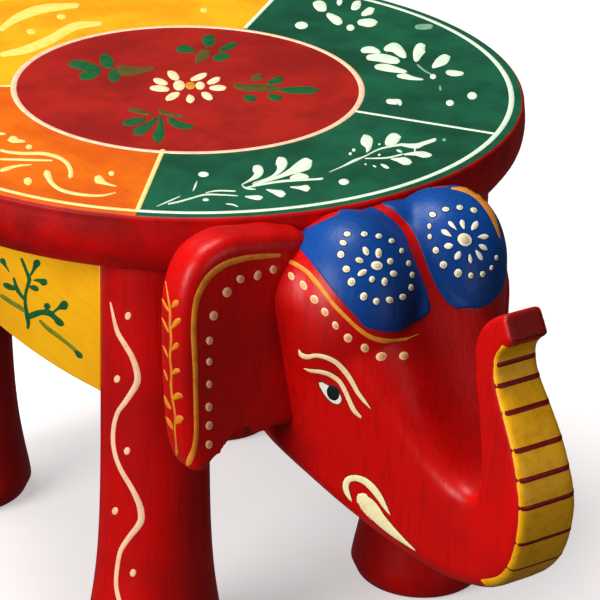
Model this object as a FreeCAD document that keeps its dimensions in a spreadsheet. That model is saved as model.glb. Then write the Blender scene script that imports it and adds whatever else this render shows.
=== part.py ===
import FreeCAD
import Part
import Sketcher
import math
import os

# A carved elephant stool: a round seat on four turned legs, tied by four aprons, with a carved head and ears
# at the front and a tail at the back. The elephant faces -Y, its right side is -X, and +Z is up.
# The origin is on the floor, under the middle of the whole stool's outline.

# Driving sizes, in millimetres
SIZES = (
    ("seat_diameter", 304),
    ("seat_thickness", 28),
    ("stool_height", 230),
    ("rim_top_inset", 2),
    ("rim_foot_inset", 7),
    ("rim_wide_height", 17),
    ("rim_upper_radius", 40),
    ("rim_lower_radius", 26),
    ("leg_radius", 23.6),
    ("foot_radius", 32.5),
    ("foot_round", 5),
    ("flare_height", 80),
    ("leg_inset_x", 79),
    ("leg_inset_y", 61),
    ("tenon_radius", 12),
    ("tenon_length", 14),
    ("glue_gap", 0.15),
    ("apron_depth", 69),
    ("apron_belly", 7),
    ("apron_thickness", 16),
    ("apron_setback", 3),
    ("dowel_radius", 4),
    ("dowel_length", 30),
    ("cleat_side", 18),
    ("cleat_end_gap", 17.4),
    ("screw_radius", 2.25),
    ("screw_head_radius", 4.25),
    ("screw_head_height", 3),
    ("seat_screw_length", 30),
    ("cleat_screw_length", 29),
    ("head_screw_length", 50),
    ("trunk_overhang", 121.5),
    ("chin_drop", 141.5),
    ("head_height", 137.5),
    ("head_half_width", 54),
    ("dome_offset", 23),
    ("dome_setback", 11),
    ("dome_half_width", 31),
    ("dome_half_depth", 34),
    ("dome_half_height", 42),
    ("seat_clearance", 0.2),
    ("ear_thickness", 20),
    ("ear_setback", 6),
    ("ear_width", 47),
    ("swept_ear_width", 34),
    ("ear_height", 105),
    ("ear_drop", 104),
    ("ear_round", 5),
    ("ear_dowel_radius", 3),
    ("ear_dowel_length", 24),
    ("tail_length", 90),
    ("tail_thickness", 13),
    ("tail_width", 12),
    ("tail_dowel_length", 20),
)

doc = FreeCAD.newDocument("elephant_stool")
sheet = doc.addObject("Spreadsheet::Sheet", "sizes")
for row, (alias, number) in enumerate(SIZES, start=1):
    sheet.set(f"A{row}", alias)
    sheet.set(f"B{row}", str(number))
    sheet.setAlias(f"B{row}", alias)
doc.recompute()


def term(item):
    """The text of a size, or of a plain number, in an expression."""
    return item.text if isinstance(item, Size) else repr(float(item))


class Size:
    """A length, with the expression on the sheet's cells that gives it."""

    def __init__(self, number, text):
        self.number = number
        self.text = text

    def __float__(self):
        return float(self.number)

    def __add__(self, other):
        return Size(float(self) + float(other), f"({self.text} + {term(other)})")

    def __sub__(self, other):
        return Size(float(self) - float(other), f"({self.text} - {term(other)})")

    def __mul__(self, other):
        return Size(float(self) * float(other), f"({self.text} * {term(other)})")

    def __truediv__(self, other):
        return Size(float(self) / float(other), f"({self.text} / {term(other)})")

    def __neg__(self):
        return Size(-float(self), f"(-{self.text})")


class Sizes:
    """The sheet's cells by their aliases."""

    def __getattr__(self, alias):
        return Size(float(getattr(sheet, alias)), f"sizes.{alias}")


size = Sizes()

# Sizes that follow from the driving ones
seat_radius = size.seat_diameter / 2
seat_underside = size.stool_height - size.seat_thickness
trunk_reach = seat_radius + size.trunk_overhang
seat_axis_y = (trunk_reach - seat_radius) / 2
leg_offset_x = seat_radius - size.leg_inset_x
leg_offset_y = seat_radius - size.leg_inset_y
apron_face_x = leg_offset_x + size.leg_radius - size.apron_setback
apron_face_y = leg_offset_y + size.leg_radius - size.apron_setback
apron_mid_x = apron_face_x - size.apron_thickness / 2
apron_mid_y = apron_face_y - size.apron_thickness / 2
apron_low = seat_underside - size.apron_depth
head_reach = trunk_reach - apron_face_y
chin_height = size.stool_height - size.chin_drop
ear_low_height = size.stool_height - size.ear_drop
cleat_length = (leg_offset_y - size.leg_radius - size.cleat_end_gap) * 2
ear_face_y = seat_radius + size.ear_setback
ear_mid_y = ear_face_y - size.ear_thickness / 2

SIDES = (("right", -1), ("left", 1))
ENDS = (("front", -1), ("rear", 1))


def bind(item, **lengths):
    """Gives an object's properties their expressions."""
    for name, length in lengths.items():
        item.setExpression(name, term(length))


def place(item, x, y, z):
    """Puts an object at a point that is measured from the seat's axis, at floor level."""
    item.setExpression("Placement.Base.x", term(x))
    item.setExpression("Placement.Base.y", term(seat_axis_y + y))
    item.setExpression("Placement.Base.z", term(z))


TURNS = {
    "up": FreeCAD.Rotation(),
    "forward": FreeCAD.Rotation(FreeCAD.Vector(1, 0, 0), 90),
    "rightward": FreeCAD.Rotation(FreeCAD.Vector(0, 1, 0), -90),
    "leftward": FreeCAD.Rotation(FreeCAD.Vector(0, 1, 0), 90),
}


def cylinder(name, radius, length, x, y, z, turn="up"):
    """A round rod whose first end has its centre at the given point."""
    rod = doc.addObject("Part::Cylinder", name)
    rod.Placement = FreeCAD.Placement(FreeCAD.Vector(), TURNS[turn])
    bind(rod, Radius=radius, Height=length)
    place(rod, x, y, z)
    return rod


def cut(label, base, tools):
    """The base with the tools taken away, under the node's name."""
    if len(tools) > 1:
        tool = doc.addObject("Part::MultiFuse", label + "_holes")
        tool.Shapes = tools
    else:
        tool = tools[0]
    result = doc.addObject("Part::Cut", label)
    result.Base = base
    result.Tool = tool
    return result


def group(label, members):
    """Identical fasteners as separate solids under one name."""
    result = doc.addObject("Part::Compound", label)
    result.Links = members
    return result


def feature(name, shape):
    """A document object for a shape that was worked out by itself."""
    item = doc.addObject("Part::Feature", name)
    item.Shape = shape
    return item


def dowel(name, radius, length, x, y, z, turn):
    """A dowel with its middle at the given point, and the hole that it is glued in."""
    pair = []
    for ending, gap in (("", 0), ("_hole", size.glue_gap)):
        half = length / 2 + gap
        start = (x, y + half, z) if turn == "forward" else (x - half, y, z)
        pair.append(cylinder(name + ending, radius + gap, half * 2, *start, turn))
    return pair


def screw_shape(name, gap, length, x, y, z, turn):
    """A countersunk screw's outline, grown by a gap."""
    shank = cylinder(name + "_shank", size.screw_radius + gap, length + gap, x, y, z, turn)
    cone = doc.addObject("Part::Cone", name + "_cone")
    cone.Placement = FreeCAD.Placement(FreeCAD.Vector(), TURNS[turn])
    bind(cone, Radius1=size.screw_head_radius + gap, Radius2=size.screw_radius + gap)
    bind(cone, Height=size.screw_head_height)
    place(cone, x, y, z)
    whole = doc.addObject("Part::Fuse", name)
    whole.Base = shank
    whole.Tool = cone
    return whole


def screw(name, length, x, y, z, turn):
    """A screw with its head flush at the given point, and the hole for it."""
    solid = screw_shape(name, 0, length, x, y, z, turn)
    hole = screw_shape(name + "_hole", size.glue_gap, length, x, y, z, turn)
    return solid, hole


def origin_plane(body, role):
    """One of the three planes of the body's own origin."""
    return next(f for f in body.Origin.OriginFeatures if f.Role == role)


def new_body(name, role):
    """A body and an empty sketch on one of its planes."""
    body = doc.addObject("PartDesign::Body", name)
    sketch = body.newObject("Sketcher::SketchObject", name + "_outline")
    sketch.AttachmentSupport = [(origin_plane(body, role), "")]
    sketch.MapMode = "FlatFace"
    return body, sketch


def arc_middle(first, last, radius, side):
    """The middle of the arc of that radius from first to last, which bows to the left if side is 1."""
    chord = last - first
    half = chord.Length / 2
    rise = radius - math.sqrt(max(radius * radius - half * half, 0))
    across = FreeCAD.Vector(-chord.y, chord.x, 0).normalize()
    return (first + last) / 2 + across * rise * side


def draw(sketch, points, bows):
    """Draws a closed outline. Each point is held by its two sizes, and bows gives (radius, side) by edge."""
    corners = [FreeCAD.Vector(float(u), float(v), 0) for u, v in points]
    count = len(corners)
    ends = []
    for index, first in enumerate(corners):
        last = corners[(index + 1) % count]
        if index in bows:
            radius, side = bows[index]
            middle = arc_middle(first, last, float(radius), side)
            edge = sketch.addGeometry(Part.Arc(first, middle, last), False)
            number = sketch.addConstraint(Sketcher.Constraint("Radius", edge, float(radius)))
            sketch.setExpression(f"Constraints[{number}]", term(radius))
        else:
            edge = sketch.addGeometry(Part.LineSegment(first, last), False)
        near = (sketch.getPoint(edge, 1) - first).Length
        far = (sketch.getPoint(edge, 2) - first).Length
        ends.append((edge, 1, 2) if near < far else (edge, 2, 1))
    for index, (u, v) in enumerate(points):
        edge, start, _ = ends[index]
        previous, _, finish = ends[index - 1]
        sketch.addConstraint(Sketcher.Constraint("Coincident", previous, finish, edge, start))
        for axis, along, length in ((-2, "DistanceX", u), (-1, "DistanceY", v)):
            if isinstance(length, Size):
                hold = Sketcher.Constraint(along, -1, 1, edge, start, float(length))
                number = sketch.addConstraint(hold)
                sketch.setExpression(f"Constraints[{number}]", term(length))
            else:
                sketch.addConstraint(Sketcher.Constraint("PointOnObject", edge, start, axis))


def turned(name, points, bows):
    """A turned piece: an outline of radius and height, spun about Z."""
    body, sketch = new_body(name, "XZ_Plane")
    draw(sketch, points, bows)
    spin = body.newObject("PartDesign::Revolution", name + "_turning")
    spin.Profile = sketch
    spin.ReferenceAxis = (sketch, ["V_Axis"])
    spin.Angle = 360
    return body


def board(name, role, points, bows, thickness):
    """A flat piece: an outline, sawn out of a board of that thickness."""
    body, sketch = new_body(name, role)
    draw(sketch, points, bows)
    pad = body.newObject("PartDesign::Pad", name + "_board")
    pad.Profile = sketch
    pad.Midplane = True
    bind(pad, Length=thickness)
    return body


def make_seat(screw_holes):
    """The turned seat, with a blind socket for each leg's tenon."""
    rim_top = seat_radius - size.rim_top_inset
    rim_foot = seat_radius - size.rim_foot_inset
    points = (
        (0, 0),
        (rim_foot, 0),
        (seat_radius, size.rim_wide_height),
        (rim_top, size.seat_thickness),
        (0, size.seat_thickness),
    )
    bows = {1: (size.rim_lower_radius, -1), 2: (size.rim_upper_radius, -1)}
    disc = turned("seat_disc", points, bows)
    place(disc, 0, 0, seat_underside)
    radius = size.tenon_radius + size.glue_gap
    depth = size.tenon_length + size.glue_gap
    sockets = []
    for side, across in SIDES:
        for end, along in ENDS:
            name = f"socket_{end}_{side}"
            x = leg_offset_x * across
            y = leg_offset_y * along
            sockets.append(cylinder(name, radius, depth, x, y, seat_underside))
    return cut("seat_top", disc, sockets + screw_holes)


def make_leg(end, along, side, across, holes):
    """One turned leg: a flared, rounded foot, a plain shank and a tenon."""
    name = f"leg_{end}_{side}"
    run = size.foot_radius - size.leg_radius
    rise = size.flare_height - size.foot_round
    flare_radius = (run * run + rise * rise) / (run * 2)
    points = (
        (0, 0),
        (size.foot_radius - size.foot_round, 0),
        (size.foot_radius, size.foot_round),
        (size.leg_radius, size.flare_height),
        (size.leg_radius, seat_underside),
        (size.tenon_radius, seat_underside),
        (size.tenon_radius, seat_underside + size.tenon_length),
        (0, seat_underside + size.tenon_length),
    )
    bows = {1: (size.foot_round, -1), 2: (flare_radius, 1)}
    blank = turned(name + "_turned", points, bows)
    place(blank, leg_offset_x * across, leg_offset_y * along, 0)
    return cut(name, blank, holes)


def make_apron(name, reach, x, y, role, holes):
    """An apron with a bellied lower edge, coped at its ends to the legs."""
    points = (
        (-reach, apron_low),
        (reach, apron_low),
        (reach, seat_underside),
        (-reach, seat_underside),
    )
    belly = size.apron_belly
    belly_radius = (reach * reach + belly * belly) / (belly * 2)
    plank = board(name + "_board", role, points, {0: (belly_radius, -1)}, size.apron_thickness)
    place(plank, x, y, 0)
    return cut(name, plank, holes)


def make_copes():
    """The rounds that the legs' shanks take out of the aprons' ends."""
    copes = {}
    for side, across in SIDES:
        for end, along in ENDS:
            x = leg_offset_x * across
            y = leg_offset_y * along
            radius = size.leg_radius + size.glue_gap
            copes[end, side] = cylinder(f"cope_{end}_{side}", radius, seat_underside, x, y, 0)
    return copes


# Heights of the dowels, as shares of the apron's depth below the seat
DOWEL_LEVEL_SHARES = (0.3, 0.7)
# How far out from its axis a leg meets the apron's end, as a share of the leg's radius
DOWEL_MEET_SHARE = 0.85


def make_apron_dowels():
    """Two dowels at each end of each apron, with their holes by apron and by leg."""
    pins = []
    holes = {}
    meet = size.leg_radius * DOWEL_MEET_SHARE
    for level, share in zip(("upper", "lower"), DOWEL_LEVEL_SHARES):
        z = seat_underside - size.apron_depth * share
        for side, across in SIDES:
            for end, along in ENDS:
                side_pin, side_hole = dowel(
                    f"{side}_{end}_{level}_dowel",
                    size.dowel_radius,
                    size.dowel_length,
                    apron_mid_x * across,
                    (leg_offset_y - meet) * along,
                    z,
                    "forward",
                )
                end_pin, end_hole = dowel(
                    f"{end}_{side}_{level}_dowel",
                    size.dowel_radius,
                    size.dowel_length,
                    (leg_offset_x - meet) * across,
                    apron_mid_y * along,
                    z,
                    "leftward",
                )
                pins += [side_pin, end_pin]
                holes.setdefault((end, side), []).extend([side_hole, end_hole])
                holes.setdefault(side, []).append(side_hole)
                holes.setdefault(end, []).append(end_hole)
    group("apron_dowels", pins)
    return holes


# Where the screws stand along a cleat, as shares of its length from its middle
SEAT_SCREW_SHARE = 0.36
CLEAT_SCREW_SHARE = 0.18


def make_cleats():
    """The strips that hold the seat on the side aprons, and their screws."""
    seat_screws = []
    seat_holes = []
    cleat_screws = []
    apron_holes = {}
    cleat_low = seat_underside - size.cleat_side
    cleat_mid_z = seat_underside - size.cleat_side / 2
    inner_x = apron_face_x - size.apron_thickness
    for side, across in SIDES:
        turn = "rightward" if across < 0 else "leftward"
        near_x = (inner_x - size.cleat_side) * across
        mid_x = (inner_x - size.cleat_side / 2) * across
        low_x = near_x - size.cleat_side if across < 0 else near_x
        blank = doc.addObject("Part::Box", f"cleat_{side}_strip")
        bind(blank, Length=size.cleat_side, Width=cleat_length, Height=size.cleat_side)
        place(blank, low_x, -(cleat_length / 2), cleat_low)
        own_holes = []
        apron_holes[side] = []
        for end, along in ENDS:
            seat_y = cleat_length * SEAT_SCREW_SHARE * along
            solid, hole = screw(
                f"seat_screw_{end}_{side}", size.seat_screw_length, mid_x, seat_y, cleat_low, "up"
            )
            seat_screws.append(solid)
            seat_holes.append(hole)
            own_holes.append(hole)
            cleat_y = cleat_length * CLEAT_SCREW_SHARE * along
            solid, hole = screw(
                f"cleat_screw_{end}_{side}",
                size.cleat_screw_length,
                near_x,
                cleat_y,
                cleat_mid_z,
                turn,
            )
            cleat_screws.append(solid)
            own_holes.append(hole)
            apron_holes[side].append(hole)
        cut(f"cleat_{side}", blank, own_holes)
    group("seat_screws", seat_screws)
    group("cleat_screws", cleat_screws)
    return seat_holes, apron_holes


# Places of the head's screws, as shares of the head's half width and of the apron's depth
HEAD_SCREW_ACROSS_SHARE = 0.45
HEAD_SCREW_LEVEL_SHARES = (0.3, 0.78)


def make_head_screws():
    """The screws through the front apron into the head's neck."""
    solids = []
    holes = []
    inner_y = -(apron_face_y - size.apron_thickness)
    for level, share in zip(("upper", "lower"), HEAD_SCREW_LEVEL_SHARES):
        z = seat_underside - size.apron_depth * share
        for side, across in SIDES:
            x = size.head_half_width * HEAD_SCREW_ACROSS_SHARE * across
            name = f"head_screw_{level}_{side}"
            solid, hole = screw(name, size.head_screw_length, x, inner_y, z, "forward")
            solids.append(solid)
            holes.append(hole)
    group("head_screws", solids)
    return holes


# The head and trunk as sections across a path that runs forward out of the apron, down the face and up the
# raised trunk. Each row gives the section's upper or inner end and its lower or outer end, each as shares of
# the head's reach in front of the apron and of its height above the chin, and then its half widths there as
# shares of the head's half width. The trunk starts with the face's last section.
FACE_SECTION_SHARES = (
    ((0.000, 0.847), (0.000, 0.185), (0.89, 0.78)),
    ((0.145, 0.927), (0.132, 0.145), (1.00, 0.80)),
    ((0.287, 1.000), (0.274, 0.105), (1.00, 0.74)),
    ((0.398, 0.949), (0.404, 0.062), (0.90, 0.65)),
    ((0.484, 0.833), (0.527, 0.022), (0.72, 0.55)),
    ((0.565, 0.651), (0.632, 0.000), (0.55, 0.44)),
    ((0.632, 0.498), (0.719, 0.000), (0.44, 0.36)),
    ((0.700, 0.396), (0.800, 0.025), (0.35, 0.305)),
    ((0.756, 0.349), (0.880, 0.069), (0.30, 0.278)),
)
TRUNK_SECTION_SHARES = (
    ((0.756, 0.349), (0.880, 0.069), (0.30, 0.278)),
    ((0.800, 0.345), (0.947, 0.142), (0.275, 0.272)),
    ((0.818, 0.378), (0.985, 0.236), (0.268, 0.270)),
    ((0.821, 0.440), (1.000, 0.367), (0.262, 0.267)),
    ((0.812, 0.505), (0.975, 0.491), (0.25, 0.25)),
    ((0.787, 0.615), (0.917, 0.615), (0.23, 0.23)),
    ((0.759, 0.716), (0.855, 0.716), (0.21, 0.21)),
    ((0.748, 0.804), (0.836, 0.796), (0.196, 0.196)),
    ((0.768, 0.873), (0.855, 0.840), (0.187, 0.187)),
    ((0.805, 0.916), (0.873, 0.858), (0.180, 0.180)),
    ((0.849, 0.949), (0.889, 0.873), (0.175, 0.175)),
)
# How round a section's corners are, as a share of its smallest half size
SECTION_ROUND_SHARE = 0.55


def head_point(forward_share, height_share):
    """A point on the head's middle plane, from shares of the head's reach and height."""
    y = float(seat_axis_y) - float(apron_face_y) - float(head_reach) * forward_share
    z = float(chin_height) + float(size.head_height) * height_share
    return FreeCAD.Vector(0, y, z)


def head_section(upper_shares, lower_shares, width_shares):
    """The closed outline of one section: four straight sides with round corners."""
    upper = head_point(*upper_shares)
    lower = head_point(*lower_shares)
    middle = (upper + lower) / 2
    rise = (upper - lower).Length / 2
    up = (upper - lower).normalize()
    top, foot = (float(size.head_half_width) * share for share in width_shares)
    radius = min(top, foot, rise) * SECTION_ROUND_SHARE
    nip = radius * (1 - math.sqrt(0.5))

    def at(across, upward):
        return middle + up * upward + FreeCAD.Vector(across, 0, 0)

    edges = []
    for side in (1, -1):
        high, low = (top, foot) if side == 1 else (foot, top)
        over, under = rise * side, -rise * side
        near, far = (radius * side, nip * side)
        edges += [
            Part.LineSegment(at((radius - high) * side, over), at((high - radius) * side, over)),
            Part.Arc(
                at((high - radius) * side, over),
                at((high - nip) * side, over - far),
                at(high * side, over - near),
            ),
            Part.LineSegment(at(high * side, over - near), at(low * side, under + near)),
            Part.Arc(
                at(low * side, under + near),
                at((low - nip) * side, under + far),
                at((low - radius) * side, under),
            ),
        ]
    return Part.Wire([edge.toShape() for edge in edges])


def make_dome(across):
    """One of the two domes on the crown."""
    x = float(size.dome_offset) * across
    y = float(seat_axis_y) - float(seat_radius) - float(size.dome_setback)
    z = float(size.stool_height) - float(size.dome_half_height) * DOME_SINK_SHARE
    stretch = FreeCAD.Matrix()
    stretch.scale(float(size.dome_half_width), float(size.dome_half_depth), float(size.dome_half_height))
    stretch.move(FreeCAD.Vector(x, y, z))
    return Part.makeSphere(1).transformGeometry(stretch)


# How far the middle of a dome lies below the seat's face, as a share of the dome's half height
DOME_SINK_SHARE = 0.95


def carve_head():
    """The head, trunk and domes as one carved block."""
    face = Part.makeLoft([head_section(*row) for row in FACE_SECTION_SHARES], True, False)
    trunk = Part.makeLoft([head_section(*row) for row in TRUNK_SECTION_SHARES], True, False)
    whole = face.fuse([trunk]).fuse([make_dome(across) for _, across in SIDES])
    return feature("head_block", whole)


# How far the left ear lies back, as a share of a right angle
LEFT_EAR_SWEEP_SHARE = 0.67
# An ear's outline as shares of its width, measured outward from the head's side, and of its height
EAR_OUTLINE_SHARES = (
    (-0.36, 0.90),
    (-0.10, 0.965),
    (0.20, 0.985),
    (0.55, 1.00),
    (0.84, 0.94),
    (0.98, 0.80),
    (1.00, 0.60),
    (0.98, 0.38),
    (0.94, 0.16),
    (0.84, 0.03),
    (0.70, 0.02),
    (0.55, 0.10),
    (0.38, 0.17),
    (0.20, 0.115),
    (0.00, 0.12),
    (-0.25, 0.125),
    (-0.40, 0.30),
    (-0.42, 0.60),
)


# The swept ear's outline, in the same shares
SWEPT_OUTLINE_SHARES = (
    (-0.38, 0.66),
    (-0.10, 0.7),
    (0.30, 0.715),
    (0.74, 0.69),
    (0.95, 0.59),
    (1.00, 0.44),
    (0.97, 0.26),
    (0.84, 0.08),
    (0.62, 0.03),
    (0.36, 0.09),
    (0.10, 0.13),
    (-0.25, 0.14),
    (-0.40, 0.27),
    (-0.42, 0.45),
)
# Each ear's side, direction across, outline, width and sweep to the rear as a share of a right angle
EARS = (
    ("right", -1, EAR_OUTLINE_SHARES, size.ear_width, 0),
    ("left", 1, SWEPT_OUTLINE_SHARES, size.swept_ear_width, LEFT_EAR_SWEEP_SHARE),
)


def swing(shape, across, sweep):
    """The shape turned about the upright line where its ear meets the head, its outer end to the rear."""
    hinge_x = float(size.head_half_width) * across
    hinge = FreeCAD.Vector(hinge_x, float(seat_axis_y) - float(ear_mid_y), 0)
    turned_shape = shape.copy()
    turned_shape.rotate(hinge, FreeCAD.Vector(0, 0, 1), math.degrees(math.pi / 2 * sweep * across))
    return turned_shape


def ear_root(sweep):
    """The width that an ear's outline is given inward of the head's side, so that a swept ear reaches in."""
    return float(size.ear_width) / math.cos(math.pi / 2 * sweep)


def carve_ear(side, across, outline, width, sweep):
    """One ear: a slab with rounded edges that stands out of the head's side."""
    points = []
    for width_share, height_share in outline:
        run = float(width) if width_share > 0 else ear_root(sweep)
        x = (float(size.head_half_width) + run * width_share) * across
        z = float(ear_low_height) + float(size.ear_height) * height_share
        points.append(FreeCAD.Vector(x, float(seat_axis_y) - float(ear_face_y), z))
    curve = Part.BSplineCurve()
    curve.interpolate(Points=points, PeriodicFlag=True)
    face = Part.Face(Part.Wire([curve.toShape()]))
    slab = face.extrude(FreeCAD.Vector(0, float(size.ear_thickness), 0))
    edges = [edge for edge in slab.Edges if edge.BoundBox.YLength < float(size.ear_thickness) / 2]
    edge_round = float(size.ear_round) * float(width) / float(size.ear_width)
    return feature(f"ear_{side}_slab", swing(slab.makeFillet(edge_round, edges), across, sweep))


# Half the head's width between its two ear housings, at their foot and at the ears' top, as shares of the
# head's half width, and the height of the housings' foot in the ear, as a share of the ear's height
HOUSING_WIDTH_SHARES = (0.80, 0.93)
HOUSING_FOOT_SHARE = 0.13
# How far the tools that cut the housings run past them, as a share of the housing's own rise
HOUSING_OVERRUN_SHARE = 0.25


def prism(corners, front, depth):
    """A solid from corners across and up, running to the rear from a distance before the seat's axis."""
    back = float(seat_axis_y) - float(front)
    points = [FreeCAD.Vector(x, back, z) for x, z in corners]
    face = Part.Face(Part.makePolygon(points + points[:1]))
    return face.extrude(FreeCAD.Vector(0, float(depth), 0))


def ear_housing(side, across, width, sweep):
    """The shallow housing that an ear is let into, and the part of the ear's slab that it leaves out."""
    half_width = float(size.head_half_width)
    foot_x, top_x = (half_width * share for share in HOUSING_WIDTH_SHARES)
    foot_z = float(ear_low_height) + float(size.ear_height) * HOUSING_FOOT_SHARE
    top_z = float(ear_low_height) + float(size.ear_height)
    rise_x = (top_x - foot_x) * HOUSING_OVERRUN_SHARE
    rise_z = (top_z - foot_z) * HOUSING_OVERRUN_SHARE
    root_x = half_width - ear_root(sweep)
    tip_x = half_width + float(width)
    slab_room = (
        (root_x * across, foot_z),
        (tip_x * across, foot_z),
        (tip_x * across, top_z + rise_z),
        (root_x * across, top_z + rise_z),
    )
    outside = (
        (foot_x * across, foot_z),
        (tip_x * across, foot_z),
        (tip_x * across, top_z + rise_z),
        ((top_x + rise_x) * across, top_z + rise_z),
    )
    inside = (
        (0, foot_z - rise_z),
        ((foot_x - rise_x) * across, foot_z - rise_z),
        ((top_x + rise_x) * across, top_z + rise_z),
        (0, top_z + rise_z),
    )
    room = swing(prism(slab_room, ear_face_y, size.ear_thickness), across, sweep)
    housing = room.common(prism(outside, trunk_reach, trunk_reach))
    waste = prism(inside, trunk_reach, trunk_reach)
    return feature(f"ear_{side}_housing", housing), feature(f"ear_{side}_inside", waste)


# Heights of the ears' dowels, as shares of the ear's height, and the place of their middles, as a share of
# the head's half width
EAR_DOWEL_SHARES = (0.35, 0.62)
EAR_DOWEL_ACROSS_SHARE = 0.87


def make_ear_dowels():
    """Two dowels from the head into each ear."""
    pins = []
    holes = {}
    for side, across in SIDES:
        holes[side] = []
        for level, share in zip(("lower", "upper"), EAR_DOWEL_SHARES):
            pin, hole = dowel(
                f"ear_dowel_{level}_{side}",
                size.ear_dowel_radius,
                size.ear_dowel_length,
                size.head_half_width * EAR_DOWEL_ACROSS_SHARE * across,
                -ear_mid_y,
                ear_low_height + size.ear_height * share,
                "leftward",
            )
            pins.append(pin)
            holes[side].append(hole)
    group("ear_dowels", pins)
    return holes


# The tail's side view, as shares of its thickness behind the apron and of its length below its top
TAIL_OUTLINE_SHARES = (
    (0.00, 0.04),
    (0.00, 0.50),
    (0.30, 0.90),
    (0.62, 1.00),
    (1.00, 0.90),
    (0.95, 0.50),
    (0.62, 0.00),
    (0.20, 0.00),
)
# How far the tail's top is below the seat, and its dowel below the tail's top, as shares of its length
TAIL_DROP_SHARE = 0.12
TAIL_DOWEL_SHARE = 0.28
# The radius of the tail's upper rear edge, as a share of its length, and how far the dowel's middle lies in
# front of the apron's face, as a share of the tail's thickness
TAIL_BOW_SHARE = 0.6
TAIL_DOWEL_SINK_SHARE = 0.1


def make_tail():
    """The small carved tail on the rear apron, and its dowel."""
    points = []
    for back_share, down_share in TAIL_OUTLINE_SHARES:
        back = size.tail_thickness * back_share if back_share else 0
        points.append((back, -(size.tail_length * down_share) if down_share else 0))
    bows = {
        1: (size.tail_length, -1),
        4: (size.tail_length, -1),
        5: (size.tail_length * TAIL_BOW_SHARE, -1),
    }
    blank = board("tail_board", "YZ_Plane", points, bows, size.tail_width)
    top = seat_underside - size.tail_length * TAIL_DROP_SHARE
    place(blank, 0, apron_face_y, top)
    pin, hole = dowel(
        "tail_dowel",
        size.ear_dowel_radius,
        size.tail_dowel_length,
        0,
        apron_face_y - size.tail_thickness * TAIL_DOWEL_SINK_SHARE,
        top - size.tail_length * TAIL_DOWEL_SHARE,
        "forward",
    )
    cut("tail", blank, [hole])
    return pin, hole


def build():
    """Makes every piece."""
    copes = make_copes()
    dowel_holes = make_apron_dowels()
    seat_holes, cleat_holes = make_cleats()
    screw_holes = make_head_screws()
    ear_holes = make_ear_dowels()
    tail_pin, tail_hole = make_tail()
    make_seat(seat_holes)
    for side, across in SIDES:
        for end, along in ENDS:
            make_leg(end, along, side, across, dowel_holes[end, side])
        holes = [copes["front", side], copes["rear", side]] + dowel_holes[side] + cleat_holes[side]
        make_apron(f"apron_{side}", leg_offset_y, apron_mid_x * across, 0, "YZ_Plane", holes)
    for end, along in ENDS:
        own_holes = screw_holes if end == "front" else [tail_hole]
        holes = [copes[end, "right"], copes[end, "left"]] + dowel_holes[end] + own_holes
        make_apron(f"apron_{end}", leg_offset_x, 0, apron_mid_y * along, "XZ_Plane", holes)
    radius = seat_radius + size.seat_clearance
    over_seat = cylinder("seat_room", radius, size.stool_height, 0, 0, seat_underside)
    head = cut("head_under_seat", carve_head(), [over_seat])
    for side, across, outline, width, sweep in EARS:
        housing, inside = ear_housing(side, across, width, sweep)
        head = cut(f"head_housed_{side}", head, [housing])
        slab = carve_ear(side, across, outline, width, sweep)
        cut(f"ear_{side}", slab, [over_seat, inside] + ear_holes[side])
    cut("head", head, screw_holes + ear_holes["right"] + ear_holes["left"])


NODES = (
    "seat_top",
    "leg_front_right",
    "leg_front_left",
    "leg_rear_right",
    "leg_rear_left",
    "apron_right",
    "apron_left",
    "apron_front",
    "apron_rear",
    "head",
    "ear_right",
    "ear_left",
    "tail",
    "apron_dowels",
    "ear_dowels",
    "tail_dowel",
    "head_screws",
    "cleat_right",
    "cleat_left",
    "seat_screws",
    "cleat_screws",
)

build()
doc.recompute()
for item in doc.Objects:
    if "Invalid" in item.State or "Error" in item.State:
        raise RuntimeError(f"{item.Name} failed: {item.State}")

os.makedirs("parts", exist_ok=True)
for name in NODES:
    piece = doc.getObject(name)
    piece.Label = name
    shape = piece.Shape
    if shape.isNull() or not shape.isValid() or shape.Volume <= 0:
        raise RuntimeError(f"{name} has no valid shape")
    print(name, len(shape.Solids), "solids", round(shape.Volume), "mm3")
    shape.exportStep(os.path.join("parts", name + ".step"))
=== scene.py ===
import bpy
import bmesh
import math
import random
import numpy as np
from mathutils import Matrix, Vector
from mathutils.bvhtree import BVHTree
from mathutils.geometry import delaunay_2d_cdt


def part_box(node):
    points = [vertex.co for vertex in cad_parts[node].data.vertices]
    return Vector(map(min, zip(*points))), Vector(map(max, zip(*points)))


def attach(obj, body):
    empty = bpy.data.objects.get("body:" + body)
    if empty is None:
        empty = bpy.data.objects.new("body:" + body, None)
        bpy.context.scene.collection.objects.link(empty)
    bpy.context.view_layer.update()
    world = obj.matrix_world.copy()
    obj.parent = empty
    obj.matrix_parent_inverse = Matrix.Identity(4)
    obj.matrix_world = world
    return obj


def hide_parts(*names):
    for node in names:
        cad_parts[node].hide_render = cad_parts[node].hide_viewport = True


# The looks of a painted, carved elephant stool. The elephant faces -Y and its right side is -X.

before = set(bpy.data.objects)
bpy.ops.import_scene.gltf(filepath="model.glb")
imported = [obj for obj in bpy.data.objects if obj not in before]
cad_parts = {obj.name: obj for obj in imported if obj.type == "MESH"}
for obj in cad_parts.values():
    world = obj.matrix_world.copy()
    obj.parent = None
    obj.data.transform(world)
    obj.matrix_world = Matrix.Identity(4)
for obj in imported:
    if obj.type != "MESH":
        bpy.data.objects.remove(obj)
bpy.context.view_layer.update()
MM = 0.001
rng = random.Random(7)

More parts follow.
